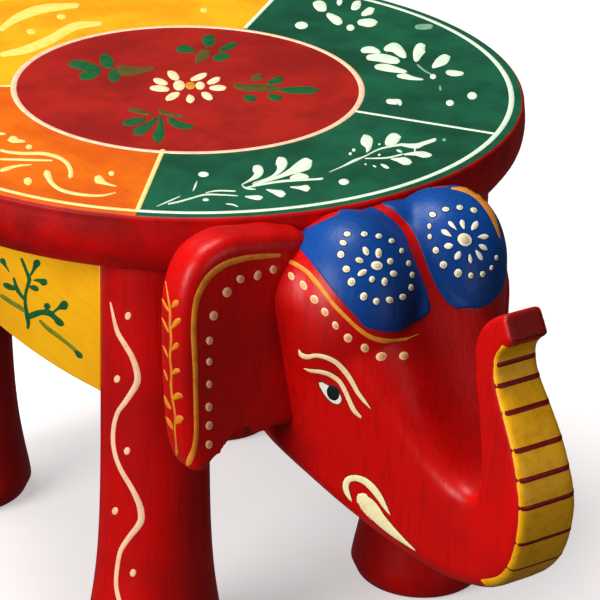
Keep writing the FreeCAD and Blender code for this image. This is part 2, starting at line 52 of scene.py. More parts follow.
# The seat's frame: everything on it is measured from here
seat_low, seat_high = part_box("seat_top")
SEAT_RADIUS = (seat_high.x - seat_low.x) / 2
SEAT_CENTRE = Vector(((seat_low.x + seat_high.x) / 2, seat_high.y - SEAT_RADIUS, seat_high.z))
SEAT_THICKNESS = seat_high.z - seat_low.z
PAINT_RADIUS = 150 * MM
MEDALLION_RADIUS = 78.7 * MM
MEDALLION_SHIFT = (-2.3 * MM, -1.4 * MM)
BORDER_RADIUS = 145.3 * MM
# Angles of the four painted sectors' edges about the seat's axis, in degrees
YELLOW_GREEN = 39.5
GREEN_GREEN = -54.4
GREEN_ORANGE = -130.2
ORANGE_YELLOW = 151.1

# The camera stands at the photograph's viewing angle
AZIMUTH = math.radians(-34.0)
ELEVATION = math.radians(25.2062)
ROLL = math.radians(1.4249)
DISTANCE = 1360.07 * MM
AIM_ACROSS = -49.5 * MM
AIM_UP = 97.7 * MM
LENS = 180.0
SENSOR = 36.0
PICTURE = 600
CLIP = (0.05, 50)
spread = math.cos(ELEVATION)
forward = Vector((-math.sin(AZIMUTH) * spread, math.cos(AZIMUTH) * spread, -math.sin(ELEVATION)))
level = Vector((math.cos(AZIMUTH), math.sin(AZIMUTH), 0))
upright = level.cross(forward)
RIGHT = level * math.cos(ROLL) + upright * math.sin(ROLL)
UP = upright * math.cos(ROLL) - level * math.sin(ROLL)
EYE = SEAT_CENTRE - forward * DISTANCE - RIGHT * AIM_ACROSS - UP * AIM_UP
FOCAL = LENS / SENSOR * PICTURE


def make_camera():
    data = bpy.data.cameras.new("camera")
    data.lens = LENS
    data.sensor_width = SENSOR
    data.clip_start, data.clip_end = CLIP
    camera = bpy.data.objects.new("camera", data)
    bpy.context.scene.collection.objects.link(camera)
    camera.matrix_world = Matrix((
        (RIGHT.x, UP.x, -forward.x, EYE.x),
        (RIGHT.y, UP.y, -forward.y, EYE.y),
        (RIGHT.z, UP.z, -forward.z, EYE.z),
        (0, 0, 0, 1),
    ))
    bpy.context.scene.camera = camera


def sight(pixel):
    """The direction from the camera through a pixel of the photograph."""
    x, y = pixel
    half = PICTURE / 2
    return (forward + RIGHT * ((x - half) / FOCAL) - UP * ((y - half) / FOCAL)).normalized()


# Mesh helpers

def make_mesh(name, points, faces, material):
    """A smooth mesh with one material."""
    mesh = bpy.data.meshes.new(name)
    mesh.from_pydata([tuple(p) for p in points], [], faces)
    mesh.update()
    mesh.shade_smooth()
    mesh.materials.append(material)
    piece = bpy.data.objects.new(name, mesh)
    bpy.context.scene.collection.objects.link(piece)
    return piece


def tidy_normals(piece):
    work = bmesh.new()
    work.from_mesh(piece.data)
    bmesh.ops.recalc_face_normals(work, faces=work.faces)
    work.to_mesh(piece.data)
    work.free()


def apply_modifiers(piece):
    graph = bpy.context.evaluated_depsgraph_get()
    mesh = bpy.data.meshes.new_from_object(piece.evaluated_get(graph))
    old = piece.data
    piece.modifiers.clear()
    piece.data = mesh
    bpy.data.meshes.remove(old)
    mesh.shade_smooth()


SPLINE_STEPS = 24


def spline(points, count, closed=False):
    """Points evenly along a smooth curve through the given ones, which are tuples of any length."""
    p = np.array(points, float)
    if closed:
        p = np.vstack([p[-1], p, p[0], p[1]])
    else:
        p = np.vstack([2 * p[0] - p[1], p, 2 * p[-1] - p[-2]])
    fine = []
    for a, b, c, d in zip(p, p[1:], p[2:], p[3:]):
        for s in range(SPLINE_STEPS):
            t = s / SPLINE_STEPS
            fine.append(0.5 * (
                2 * b + (c - a) * t + (2 * a - 5 * b + 4 * c - d) * t * t + (3 * b - a - 3 * c + d) * t ** 3
            ))
    fine.append(p[-2])
    fine = np.array(fine)
    lengths = np.concatenate([[0], np.cumsum(np.linalg.norm(np.diff(fine[:, :2], axis=0), axis=1))])
    wanted = np.linspace(0, lengths[-1], count, endpoint=not closed)
    return np.stack([np.interp(wanted, lengths, fine[:, k]) for k in range(fine.shape[1])], -1)


def bridge(rings, around, flip=False):
    """The faces between rings of points that follow each other."""
    faces = []
    for a in range(0, (rings - 1) * around, around):
        b = a + around
        for s in range(around):
            n = (s + 1) % around
            faces.append((a + s, b + s, b + n, a + n) if flip else (a + s, a + n, b + n, b + s))
    return faces


# How a turned piece strays from round: the range of its start, and its turn in radians a metre of height
WOBBLE_START = 6
WOBBLE_TURN = 25


def lathe(name, profile, centre, around, material, wobble=0.0):
    """A turned piece from (radius, height) points, closed at the axis."""
    points = []
    rings = [p for p in profile if p[0] > 0]
    phase = rng.random() * WOBBLE_START
    for radius, height in rings:
        for s in range(around):
            angle = 2 * math.pi * s / around
            r = radius * (1 + wobble * math.sin(2 * angle + phase + height * WOBBLE_TURN))
            points.append((centre.x + r * math.cos(angle), centre.y + r * math.sin(angle), height))
    faces = bridge(len(rings), around)
    low, high = len(points), len(points) + 1
    points += [(centre.x, centre.y, profile[0][1]), (centre.x, centre.y, profile[-1][1])]
    last = (len(rings) - 1) * around
    for s in range(around):
        n = (s + 1) % around
        faces.append((n, s, low))
        faces.append((last + s, last + n, high))
    return make_mesh(name, points, faces, material)


def arc(centre, radius, start, end, steps):
    """Points of an arc in a profile, by angles in degrees."""
    out = []
    for s in range(steps + 1):
        angle = math.radians(start + (end - start) * s / steps)
        out.append((centre[0] + radius * math.cos(angle), centre[1] + radius * math.sin(angle)))
    return out


def settle(piece, slot, *nodes):
    """The piece rides on the stool and stands for CAD nodes; the finish that it is given is not used."""
    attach(piece, "root")
    if nodes:
        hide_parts(*nodes)
    return piece


# Materials

class Nodes:
    """A short way to wire a material's nodes."""

    def __init__(self, name):
        self.material = bpy.data.materials.new(name)
        self.material.use_nodes = True
        self.tree = self.material.node_tree
        self.tree.nodes.clear()
        self.out = self.tree.nodes.new("ShaderNodeOutputMaterial")
        self.shader = self.tree.nodes.new("ShaderNodeBsdfPrincipled")
        self.tree.links.new(self.shader.outputs[0], self.out.inputs[0])

    def new(self, kind, **values):
        node = self.tree.nodes.new(kind)
        for key, value in values.items():
            setattr(node, key, value)
        return node

    def link(self, source, target):
        self.tree.links.new(source, target)

    def feed(self, socket, value):
        if isinstance(value, bpy.types.NodeSocket):
            self.link(value, socket)
        elif isinstance(value, tuple):
            socket.default_value = (*value, 1)
        else:
            socket.default_value = value

    def math(self, operation, a, b=0.0):
        node = self.new("ShaderNodeMath", operation=operation)
        self.feed(node.inputs[0], a)
        self.feed(node.inputs[1], b)
        return node.outputs[0]

    def total(self, *values):
        """The sum of values, some of them given with a factor."""
        parts = [self.math("MULTIPLY", *v) if isinstance(v, tuple) else v for v in values]
        out = parts[0]
        for part in parts[1:]:
            out = self.math("ADD", out, part)
        return out

    def distance(self, x, y):
        """How far a point with these offsets lies from an axis."""
        return self.math("SQRT", self.total((x, x), (y, y)))

    def mix(self, factor, a, b):
        node = self.new("ShaderNodeMix", data_type="RGBA")
        self.feed(node.inputs[0], factor)
        self.feed(node.inputs[6], a)
        self.feed(node.inputs[7], b)
        return node.outputs[2]

    def ramp(self, value, low, high, out_low=0.0, out_high=1.0):
        node = self.new("ShaderNodeMapRange", interpolation_type="SMOOTHSTEP")
        for socket, item in zip(node.inputs, (value, low, high, out_low, out_high)):
            self.feed(socket, item)
        return node.outputs[0]

    def place(self, scale=(1, 1, 1), turn=(0, 0, 0)):
        coordinates = self.new("ShaderNodeTexCoord")
        mapping = self.new("ShaderNodeMapping")
        self.link(coordinates.outputs["Object"], mapping.inputs[0])
        mapping.inputs["Rotation"].default_value = turn
        mapping.inputs["Scale"].default_value = scale
        return mapping.outputs[0]

    def noise(self, where, scale, detail=3.0, rough=0.5, distortion=0.0):
        node = self.new("ShaderNodeTexNoise")
        self.link(where, node.inputs["Vector"])
        node.inputs["Scale"].default_value = scale
        node.inputs["Detail"].default_value = detail
        node.inputs["Roughness"].default_value = rough
        node.inputs["Distortion"].default_value = distortion
        return node.outputs[0]

    def bump(self, height, strength, distance):
        node = self.new("ShaderNodeBump")
        node.inputs["Strength"].default_value = strength
        node.inputs["Distance"].default_value = distance
        self.link(height, node.inputs["Height"])
        self.set("Normal", node.outputs[0])

    def set(self, key, value):
        """Gives one of the shader's inputs a value or a socket."""
        self.feed(self.shader.inputs[key], value)


def linear(red, green, blue):
    """A screen colour, 0 to 255, as linear light."""
    def one(x):
        x = x / 255
        return x / 12.92 if x <= 0.04045 else ((x + 0.055) / 1.055) ** 2.4
    return one(red), one(green), one(blue)


def enamel(name, colour, dark, streaks=(1, 1, 0.08), gloss=0.38, coat=0.06):
    """Brushed enamel over wood: mottled colour, brush streaks, faint grain, and painted shade that darkens
    its hollows.
    """
    n = Nodes(name)
    where = n.place()
    drawn = n.place(scale=streaks)
    cloud = n.noise(where, 20, 4, 0.55)
    fine = n.noise(where, 160, 3, 0.6)
    streak = n.noise(drawn, 420, 3, 0.55, 0.3)
    broad = n.noise(drawn, 90, 2, 0.5, 0.2)
    specks = n.noise(where, 900, 2, 0.5)
    # Painted shade: the colour darkens toward the darker enamel where the surface is hollow, where shade
    # falls
    hollow_shade = n.new("ShaderNodeNewGeometry").outputs["Pointiness"]
    # Each kind of mottling, then the painted shade in hollows: where it starts and is whole, and its strength
    # at both
    for value, *limits in (
        (cloud, 0.40, 0.72, 0.0, 0.55),
        (streak, 0.48, 0.72, 0.0, 0.36),
        (specks, 0.70, 0.76, 0.0, 0.35),
        (hollow_shade, 0.44, 0.495, 0.55, 0.0),
    ):
        colour = n.mix(n.ramp(value, *limits), colour, dark)
    n.set("Base Color", colour)
    n.set("Roughness", n.total((fine, 0.12), (cloud, 0.16), gloss - 0.12))
    n.set("Coat Weight", coat)
    n.set("Coat Roughness", 0.2)
    n.set("Specular IOR Level", 0.2)
    n.bump(n.total((streak, 0.6), (broad, 0.8), (fine, 0.25)), 0.26, 0.0012)
    return n.material


# Enamels: the colour, then a darker one that mottles it and paints shade into the hollows of carved pieces
ENAMELS = {
    "red": (linear(194, 5, 3), linear(140, 3, 2)),
    "blue": (linear(4, 66, 142), linear(2, 44, 106)),
    "apron": (linear(244, 178, 12), linear(230, 152, 8)),
    "green": (linear(22, 90, 62), linear(12, 68, 46)),
    "orange": (linear(222, 104, 6), linear(206, 84, 4)),
    "yellow": (linear(236, 174, 22), linear(226, 150, 12)),
    "brown": (linear(166, 28, 18), linear(138, 18, 12)),
}
# Line paints: the colour, then a darker one that mottles it
LINE_PAINTS = {
    "cream": (linear(246, 222, 178), linear(232, 198, 146)),
    "ivory": (linear(252, 240, 188), linear(240, 220, 150)),
    "butter": (linear(255, 220, 140), linear(244, 196, 104)),
    "mint": (linear(226, 240, 214), linear(198, 220, 186)),
    "white": (linear(238, 236, 222), linear(220, 216, 198)),
    "straw": (linear(222, 208, 158), linear(204, 186, 128)),
    "pinkish": (linear(250, 204, 168), linear(236, 178, 140)),
    "shell": (linear(252, 216, 168), linear(240, 194, 140)),
    "peach": (linear(250, 198, 150), linear(240, 178, 124)),
    "tan": (linear(226, 164, 108), linear(204, 140, 84)),
    "sage": (linear(128, 170, 138), linear(96, 146, 112)),
    "pale_yellow": (linear(252, 218, 112), linear(248, 200, 70)),
    "ochre": (linear(214, 150, 40), linear(188, 122, 24)),
    "gold": (linear(228, 142, 40), linear(204, 112, 24)),
    "vine": (linear(214, 132, 30), linear(186, 100, 20)),
    "band": (linear(244, 176, 14), linear(226, 150, 8)),
    "green": (linear(20, 92, 44), linear(12, 66, 32)),
    "moss": (linear(92, 78, 26), linear(70, 54, 18)),
    "olive": (linear(122, 128, 30), linear(96, 102, 20)),
    "stripe": (linear(122, 6, 4), linear(100, 4, 3)),
    "navy": (linear(2, 26, 66), linear(1, 18, 50)),
    "black": ((0.01, 0.01, 0.012), (0.004, 0.004, 0.005)),
}


def paint_line(name, colour, dark):
    """Thick hand-laid paint for lines, dots and leaves."""
    n = Nodes(name)
    where = n.place()
    cloud = n.noise(where, 240, 3, 0.6)
    n.set("Base Color", n.mix(n.ramp(cloud, 0.42, 0.72, 0.0, 0.8), colour, dark))
    n.set("Roughness", n.ramp(cloud, 0.2, 0.8, 0.38, 0.55))
    n.set("Specular IOR Level", 0.25)
    n.set("Coat Weight", 0.04)
    n.bump(n.noise(where, 700, 2, 0.5), 0.25, 0.0004)
    return n.material


def bare_wood(name):
    n = Nodes(name)
    rings = n.noise(n.place(scale=(1, 1, 0.12)), 120, 4, 0.6, 1.2)
    n.set("Base Color", n.mix(n.ramp(rings, 0.35, 0.7), linear(186, 140, 92), linear(132, 88, 50)))
    n.set("Roughness", n.ramp(rings, 0.3, 0.7, 0.55, 0.75))
    n.bump(rings, 0.3, 0.0005)
    return n.material


def plated_steel(name):
    n = Nodes(name)
    spots = n.noise(n.place(), 300, 3, 0.6)
    n.set("Base Color", n.mix(spots, linear(190, 188, 180), linear(140, 138, 130)))
    n.set("Metallic", 1.0)
    n.set("Roughness", n.ramp(spots, 0.3, 0.7, 0.25, 0.45))
    n.bump(spots, 0.1, 0.0002)
    return n.material


# How far the brush strayed along the painted edges, and how soft those edges are
SWAY = 2.2 * MM
EDGE_SOFTNESS = 0.2 * MM
# The red of the rim starts this far under the top, and is whole a little lower
RIM_START = 0.6 * MM
RIM_WHOLE = 1.0 * MM


def seat_enamel(name):
    """The seat's four painted sectors, its medallion and its red rim, by radius and angle about the axis."""
    n = Nodes(name)
    where = n.place()
    split = n.new("ShaderNodeSeparateXYZ")
    n.link(where, split.inputs[0])
    sway = n.math("MULTIPLY", n.math("SUBTRACT", n.noise(where, 30, 2), 0.5), SWAY)
    x = n.math("SUBTRACT", split.outputs[0], SEAT_CENTRE.x)
    y = n.math("SUBTRACT", split.outputs[1], SEAT_CENTRE.y)
    shifted = [n.math("SUBTRACT", side, shift) for side, shift in zip((x, y), MEDALLION_SHIFT)]
    cloud = n.noise(where, 28, 5, 0.6)
    worn = n.ramp(cloud, 0.36, 0.66)

    def beyond(angle):
        """One where a point lies to the left of the ray at that angle."""
        a = math.radians(angle)
        side = n.math("SUBTRACT", n.math("MULTIPLY", y, math.cos(a)), n.math("MULTIPLY", x, math.sin(a)))
        return n.math("GREATER_THAN", n.total(side, (sway, 0.5)), 0.0)

    def sector(start, end):
        return n.math("MULTIPLY", beyond(start), n.math("SUBTRACT", 1.0, beyond(end)))

    def outside(distance, radius):
        """None within a radius, one past it."""
        return n.ramp(distance, radius - EDGE_SOFTNESS, radius + EDGE_SOFTNESS)

    def within(factor, colour, key):
        return n.mix(factor, colour, n.mix(worn, *ENAMELS[key]))

    colour = n.mix(worn, *ENAMELS["green"])
    colour = within(sector(YELLOW_GREEN, ORANGE_YELLOW), colour, "yellow")
    colour = within(sector(ORANGE_YELLOW, GREEN_ORANGE), colour, "orange")
    medallion = outside(n.total(n.distance(*shifted), (sway, 0.4)), MEDALLION_RADIUS)
    colour = n.mix(medallion, n.mix(worn, *ENAMELS["brown"]), colour)
    rim = outside(n.total(n.distance(x, y), (sway, 0.5)), PAINT_RADIUS)
    below = n.ramp(split.outputs[2], SEAT_CENTRE.z - RIM_WHOLE, SEAT_CENTRE.z - RIM_START, 1.0, 0.0)
    colour = within(n.math("MAXIMUM", rim, below), colour, "red")
    streak = n.noise(n.place(scale=(1, 0.12, 1), turn=(0, 0, 0.5)), 380, 3, 0.55, 0.3)
    n.set("Base Color", n.mix(n.ramp(streak, 0.52, 0.78, 0.0, 0.16), colour, (0.02, 0.02, 0.01)))
    n.set("Roughness", n.total((cloud, 0.2), 0.42))
    n.set("Specular IOR Level", 0.14)
    n.set("Coat Weight", 0.04)
    n.set("Coat Roughness", 0.25)
    n.bump(n.total(streak, (n.noise(where, 180, 3, 0.6), 0.5)), 0.12, 0.001)
    return n.material


MATERIALS = {
    "seat": seat_enamel("seat enamel"),
    "red": enamel("red enamel", *ENAMELS["red"]),
    "blue": enamel("blue enamel", *ENAMELS["blue"], gloss=0.42, coat=0.05),
    "yellow": enamel("yellow enamel", *ENAMELS["apron"], streaks=(1, 0.08, 1)),
    "wood": bare_wood("bare wood"),
    "steel": plated_steel("plated steel"),
}
for key, shades in LINE_PAINTS.items():
    MATERIALS[key] = paint_line(key.replace("_", " ") + " line paint", *shades)


# Shapes

# The seat's side from the underside up: insets from its radius, and heights
SEAT_FLAT_INSET = 12 * MM
SEAT_FOOT_INSET = 11 * MM
SEAT_FOOT_ROUND = 5 * MM
SEAT_BULGE = ((5 * MM, 4.5 * MM), (1.4 * MM, 10 * MM), (0.1 * MM, 16 * MM), (0.3 * MM, 22 * MM))
SEAT_LIP_INSET = 0.9 * MM
SEAT_LIP_DROP = 2.2 * MM
SEAT_TOP_INSET = 2.6 * MM
SEAT_TOP_ROUND = 1.8 * MM
SEAT_RIM_WIDTH = 6 * MM
SEAT_TOP_SHARES = (0.8, 0.6, 0.4, 0.2, 0)
SEAT_AROUND = 256


def make_seat():
    top = SEAT_CENTRE.z
    underside = top - SEAT_THICKNESS
    r = SEAT_RADIUS
    profile = [(0, underside), (r * 0.5, underside), (r - SEAT_FLAT_INSET, underside)]
    profile += arc((r - SEAT_FOOT_INSET, underside + SEAT_FOOT_ROUND), SEAT_FOOT_ROUND, -90, -25, 6)
    bulge = [(r - inset, underside + height) for inset, height in SEAT_BULGE]
    profile += [(x, y) for x, y in spline(bulge + [(r - SEAT_LIP_INSET, top - SEAT_LIP_DROP)], 12)]
    profile += arc((r - SEAT_TOP_INSET, top - SEAT_TOP_ROUND), SEAT_TOP_ROUND, 10, 90, 5)
    profile += [(r - SEAT_RIM_WIDTH, top)] + [(r * share, top) for share in SEAT_TOP_SHARES]
    seat = lathe("seat", profile, SEAT_CENTRE, SEAT_AROUND, MATERIALS["seat"])
    return settle(seat, "seat_paint", "seat_top")


SHANK_SHARE = 23.6 / 32.5
FLARE_SHARE = 0.995
# The foot's flare starts at this height and fades over that one
FLARE_START = 8 * MM
FLARE_FADE = 33.25 * MM
FLARE_POWER = 1.25
FOOT_ROUND = 5 * MM
FOOT_INSET = 7 * MM
LEG_TOP_ROUND = 0.8 * MM
LEG_TOP_INSET = 2 * MM
LEG_TOP_CLEARANCE = 0.2 * MM
LEG_AROUND = 96
LEG_WOBBLE = 0.004


def make_leg(end, side):
    node = f"leg_{end}_{side}"
    low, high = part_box(node)
    foot = (high.x - low.x) / 2
    shank = foot * SHANK_SHARE
    seat_foot = SEAT_CENTRE.z - SEAT_THICKNESS
    top = seat_foot - LEG_TOP_CLEARANCE
    profile = [(0, 0), (foot * 0.5, 0), (foot - FOOT_INSET, 0)]
    profile += arc((foot - FOOT_INSET, FOOT_ROUND), FOOT_ROUND, -90, -20, 6)
    for height in np.linspace(FLARE_START, top - MM, 40):
        fade = math.exp(-((height - FLARE_START) / FLARE_FADE) ** FLARE_POWER)
        profile.append((shank + (foot * FLARE_SHARE - shank) * fade, height))
    profile += arc((shank - LEG_TOP_ROUND, seat_foot - MM), LEG_TOP_ROUND, 10, 90, 4)
    profile += [(shank - LEG_TOP_INSET, top), (shank * 0.5, top), (0, top)]
    leg = lathe(node + "_turned", profile, (low + high) / 2, LEG_AROUND, MATERIALS["red"], LEG_WOBBLE)
    return settle(leg, "red_enamel", node)


def board(name, outline, axis, low, high, material, rounding, steps=4):
    """A board with round edges between two planes across an axis, from (along, height) points."""
    o = np.array(outline)
    after = np.roll(o, -1, 0)
    tangent = after - np.roll(o, 1, 0)
    normal = np.stack([tangent[:, 1], -tangent[:, 0]], -1)
    normal /= np.linalg.norm(normal, axis=1)[:, None]
    if sum(a[0] * b[1] - b[0] * a[1] for a, b in zip(o, after)) < 0:
        normal = -normal
    points = []
    for face, sign in ((low, 1), (high, -1)):
        for s in range(steps + 1):
            angle = math.pi / 2 * (s if sign == 1 else steps - s) / steps
            depth = face + sign * rounding * (1 - math.cos(angle))
            for along, height in o - normal * (rounding * (1 - math.sin(angle))):
                points.append((depth, along, height) if axis == "x" else (along, depth, height))
    count = len(outline)
    faces = bridge(len(points) // count, count)
    faces.append(tuple(range(count - 1, -1, -1)))
    faces.append(tuple(range(len(points) - count, len(points))))
    piece = make_mesh(name, points, faces, material)
    tidy_normals(piece)
    return piece


APRON_BELLY = 7 * MM
APRON_ROUND = 1.2 * MM


def make_apron(side):
    node = f"apron_{side}"
    low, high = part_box(node)
    along_x = high.x - low.x > high.y - low.y
    start, end = (low.x, high.x) if along_x else (low.y, high.y)
    length = end - start
    foot = low.z + APRON_BELLY
    outline = [(start, high.z), (start, foot)]
    for share in np.linspace(0, 1, 25)[1:-1]:
        outline.append((start + length * share, foot - APRON_BELLY * (1 - (2 * share - 1) ** 2)))
    outline += [(end, foot), (end, high.z)]
    outline += [(end - length * share, high.z) for share in np.linspace(0, 1, 13)[1:-1]]
    axis, *faces = ("y", low.y, high.y) if along_x else ("x", low.x, high.x)
    piece = board(node + "_board", outline, axis, *faces, MATERIALS["yellow"], APRON_ROUND)
    return settle(piece, "yellow_enamel", node)


# The head's sections from its back to the trunk's tip: the upper and the lower end as shares of reach and
# height, then the half widths at both
HEAD_SECTION_SHARES = (
    ((0.000, 0.847), (0.000, 0.185), (0.89, 0.78)),
    ((0.145, 0.927), (0.132, 0.145), (1.00, 0.80)),
    ((0.287, 1.000), (0.274, 0.105), (1.00, 0.74)),
    ((0.398, 0.949), (0.404, 0.062), (0.90, 0.65)),
    ((0.484, 0.833), (0.527, 0.022), (0.72, 0.55)),
    ((0.565, 0.651), (0.632, 0.000), (0.55, 0.44)),
    ((0.632, 0.498), (0.719, 0.000), (0.44, 0.36)),
    ((0.700, 0.396), (0.800, 0.025), (0.35, 0.305)),
    ((0.756, 0.349), (0.880, 0.069), (0.30, 0.278)),
    ((0.800, 0.345), (0.947, 0.142), (0.275, 0.272)),
    ((0.818, 0.378), (0.985, 0.236), (0.268, 0.270)),
    ((0.821, 0.440), (1.000, 0.367), (0.262, 0.267)),
    ((0.812, 0.505), (0.975, 0.491), (0.25, 0.25)),
    ((0.787, 0.615), (0.917, 0.615), (0.23, 0.23)),
    ((0.759, 0.716), (0.855, 0.716), (0.21, 0.21)),
    ((0.748, 0.804), (0.836, 0.796), (0.196, 0.196)),
    ((0.768, 0.873), (0.855, 0.840), (0.187, 0.187)),
    ((0.805, 0.916), (0.873, 0.858), (0.180, 0.180)),
    ((0.849, 0.949), (0.889, 0.873), (0.175, 0.175)),
)
ROUND_SHARES = (0.7, 0.7, 0.7, 0.7, 0.75, 0.75, 0.7, 0.6, 0.45, 0.3, 0.22) + (0.2,) * 8
head_low, head_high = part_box("head")
HEAD_BACK = head_high.y
HEAD_REACH = head_high.y - head_low.y
CHIN = SEAT_CENTRE.z - 141.5 * MM
HEAD_HEIGHT = 137.5 * MM
HEAD_HALF = 54 * MM
# The two domes: their middles, half sizes and how square their upper outer quarters are, where 2 is round
DOME_FRONT = SEAT_CENTRE.y - SEAT_RADIUS - 11 * MM
DOME_HEIGHT = SEAT_CENTRE.z - 39.9 * MM
DOMES = (
    (-23 * MM, (31 * MM, 34 * MM, 42 * MM), 2.0),
    (21 * MM, (28.6 * MM, 33 * MM, 42.5 * MM), 3.1),
)
# The crown between them, up against the seat's rim
CROWN_CENTRE = Vector((0, SEAT_CENTRE.y - SEAT_RADIUS - 6 * MM, SEAT_CENTRE.z - 26.5 * MM))
CROWN_SIZE = (34 * MM, 15 * MM, 27 * MM)
# The carving isn't quite even: the upper head is fuller on its right side
NEAR_SWELL = 0.05
FAR_TUCK = 0.11
# Sections this much wider than the trunk are uneven, and on the right more so towards their foot
UNEVEN_SHARE = 0.4
FOOT_SWELL = 3
CORNER_STEPS = 8
HEAD_AROUND = 96
HEAD_SECTIONS = 150
HEAD_VOXEL = 1.25 * MM
HEAD_ROUNDS = 8
# The faces round and up the balls that the domes and the crown are made from
DOME_BALL = (64, 40)
CROWN_BALL = (48, 32)
# The part of the crown that is smoothed: how far down, and how far before the domes' middles
CROWN_DEPTH = 16 * MM
CROWN_REACH = 12 * MM
CROWN_ROUNDS = 14
SEAT_CLEARANCE = 0.3 * MM
UNDER_CLEARANCE = 0.2 * MM


def section_outline(top, foot, rise, share, count):
    """A four-sided outline with round corners: (across, upward) points."""
    radius = min(top, foot, rise) * share
    corners = ((top, rise, 0), (-top, rise, 90), (-foot, -rise, 180), (foot, -rise, 270))
    points = []
    for x, y, start in corners:
        cx = x - math.copysign(radius, x)
        cy = y - math.copysign(radius, y)
        points += arc((cx, cy), radius, start, start + 90, CORNER_STEPS)
    closed = np.array(points + points[:1])
    lengths = np.concatenate([[0], np.cumsum(np.linalg.norm(np.diff(closed, axis=0), axis=1))])
    wanted = np.linspace(0, lengths[-1], count, endpoint=False)
    return np.stack([np.interp(wanted, lengths, closed[:, k]) for k in range(2)], -1)


def head_sections():
    """The sections along the head and trunk, finely and smoothly spaced: upper, lower, widths, roundness."""
    rows = []
    for (upper, lower, widths), share in zip(HEAD_SECTION_SHARES, ROUND_SHARES):
        middle = [(upper[k] + lower[k]) / 2 for k in range(2)]
        rows.append((middle[0] * HEAD_REACH, middle[1] * HEAD_HEIGHT, *upper, *lower, *widths, share))
    out = []
    for row in spline(rows, HEAD_SECTIONS):
        upper = Vector((0, HEAD_BACK - HEAD_REACH * row[2], CHIN + HEAD_HEIGHT * row[3]))
        lower = Vector((0, HEAD_BACK - HEAD_REACH * row[4], CHIN + HEAD_HEIGHT * row[5]))
        out.append((upper, lower, HEAD_HALF * row[6], HEAD_HALF * row[7], row[8]))
    return out


def head_hull():
    """The head and trunk without the domes and the crown."""
    points = []
    for upper, lower, top, foot, share in head_sections():
        middle = (upper + lower) / 2
        rise = (upper - lower).length / 2
        up = (upper - lower).normalized()
        broad = max(0.0, top / HEAD_HALF - UNEVEN_SHARE)
        for across, upward in section_outline(top, foot, rise, share, HEAD_AROUND):
            down = 0.5 - 0.5 * upward / rise
            if across > 0:
                across *= 1 - FAR_TUCK * broad
            else:
                across *= 1 + NEAR_SWELL * broad * (1 + FOOT_SWELL * down)
            points.append(middle + up * upward + Vector((across, 0, 0)))
    faces = bridge(HEAD_SECTIONS, HEAD_AROUND, flip=True)
    last = len(points) - HEAD_AROUND
    faces.append(tuple(range(HEAD_AROUND)))
    faces.append(tuple(range(len(points) - 1, last - 1, -1)))
    head = make_mesh("head_carving", points, faces, MATERIALS["red"])
    tidy_normals(head)
    return head


def carve(piece, voxel, rounds):
    """Melts a piece's parts into one skin and smooths it."""
    remesh = piece.modifiers.new("remesh", "REMESH")
    remesh.mode = "VOXEL"
    remesh.voxel_size = voxel
    soften = piece.modifiers.new("soften", "SMOOTH")
    soften.factor = 0.5
    soften.iterations = rounds
    apply_modifiers(piece)


def ball_points(work, around, rings):
    return bmesh.ops.create_uvsphere(work, u_segments=around, v_segments=rings, radius=1)["verts"]


def make_head():
    head = head_hull()
    work = bmesh.new()
    work.from_mesh(head.data)
    for across, size, power in DOMES:
        middle = (across, DOME_FRONT, DOME_HEIGHT)
        for vertex in ball_points(work, *DOME_BALL):
            c = vertex.co.normalized()
            if c.x * across > 0 and c.z > 0:
                flat = math.hypot(c.x, c.z)
                square = sum((k / flat) ** power for k in (abs(c.x), c.z)) ** (-1 / power)
                c.x, c.z = c.x * square, c.z * square
            vertex.co = Vector([m + k * half for m, k, half in zip(middle, c, size)])
    for vertex in ball_points(work, *CROWN_BALL):
        vertex.co = CROWN_CENTRE + Vector([k * half for k, half in zip(vertex.co, CROWN_SIZE)])
    work.to_mesh(head.data)
    work.free()
    carve(head, HEAD_VOXEL, HEAD_ROUNDS)
    clear_seat(head)
    soften_crown(head)
    clear_seat(head)
    return head


def soften_crown(head):
    """Smooths the folds where the crown was pressed clear of the seat's rim."""
    work = bmesh.new()
    work.from_mesh(head.data)
    low, front = SEAT_CENTRE.z - CROWN_DEPTH, DOME_FRONT - CROWN_REACH
    crown = [v for v in work.verts if v.co.z > low and v.co.y > front]
    for _ in range(CROWN_ROUNDS):
        bmesh.ops.smooth_vert(
            work, verts=crown, factor=0.5, use_axis_x=True, use_axis_y=True, use_axis_z=True,
        )
    work.to_mesh(head.data)
    work.free()


def clear_seat(piece):
    """Presses a piece's points out of the seat's round, forward of its rim or down under it."""
    room = SEAT_RADIUS + SEAT_CLEARANCE
    under = SEAT_CENTRE.z - SEAT_THICKNESS - UNDER_CLEARANCE
    for vertex in piece.data.vertices:
        c = vertex.co
        flat = Vector((c.x - SEAT_CENTRE.x, c.y - SEAT_CENTRE.y))
        depth_in = room - flat.length
        depth_up = c.z - under
        if depth_in > 0 and depth_up > 0:
            if depth_in < depth_up:
                flat = flat * (room / flat.length)
                c.x, c.y = SEAT_CENTRE.x + flat.x, SEAT_CENTRE.y + flat.y
            else:
                c.z = under


EAR_OUTLINE_SHARES = (
    (-0.36, 0.9), (-0.1, 0.965), (0.2, 0.985), (0.55, 1.0), (0.84, 0.94), (0.98, 0.8), (1.0, 0.6),
    (0.98, 0.38), (0.94, 0.16), (0.84, 0.03), (0.7, 0.02), (0.55, 0.1), (0.38, 0.17), (0.2, 0.115),
    (0.0, 0.12), (-0.25, 0.125), (-0.4, 0.3), (-0.42, 0.6),
)
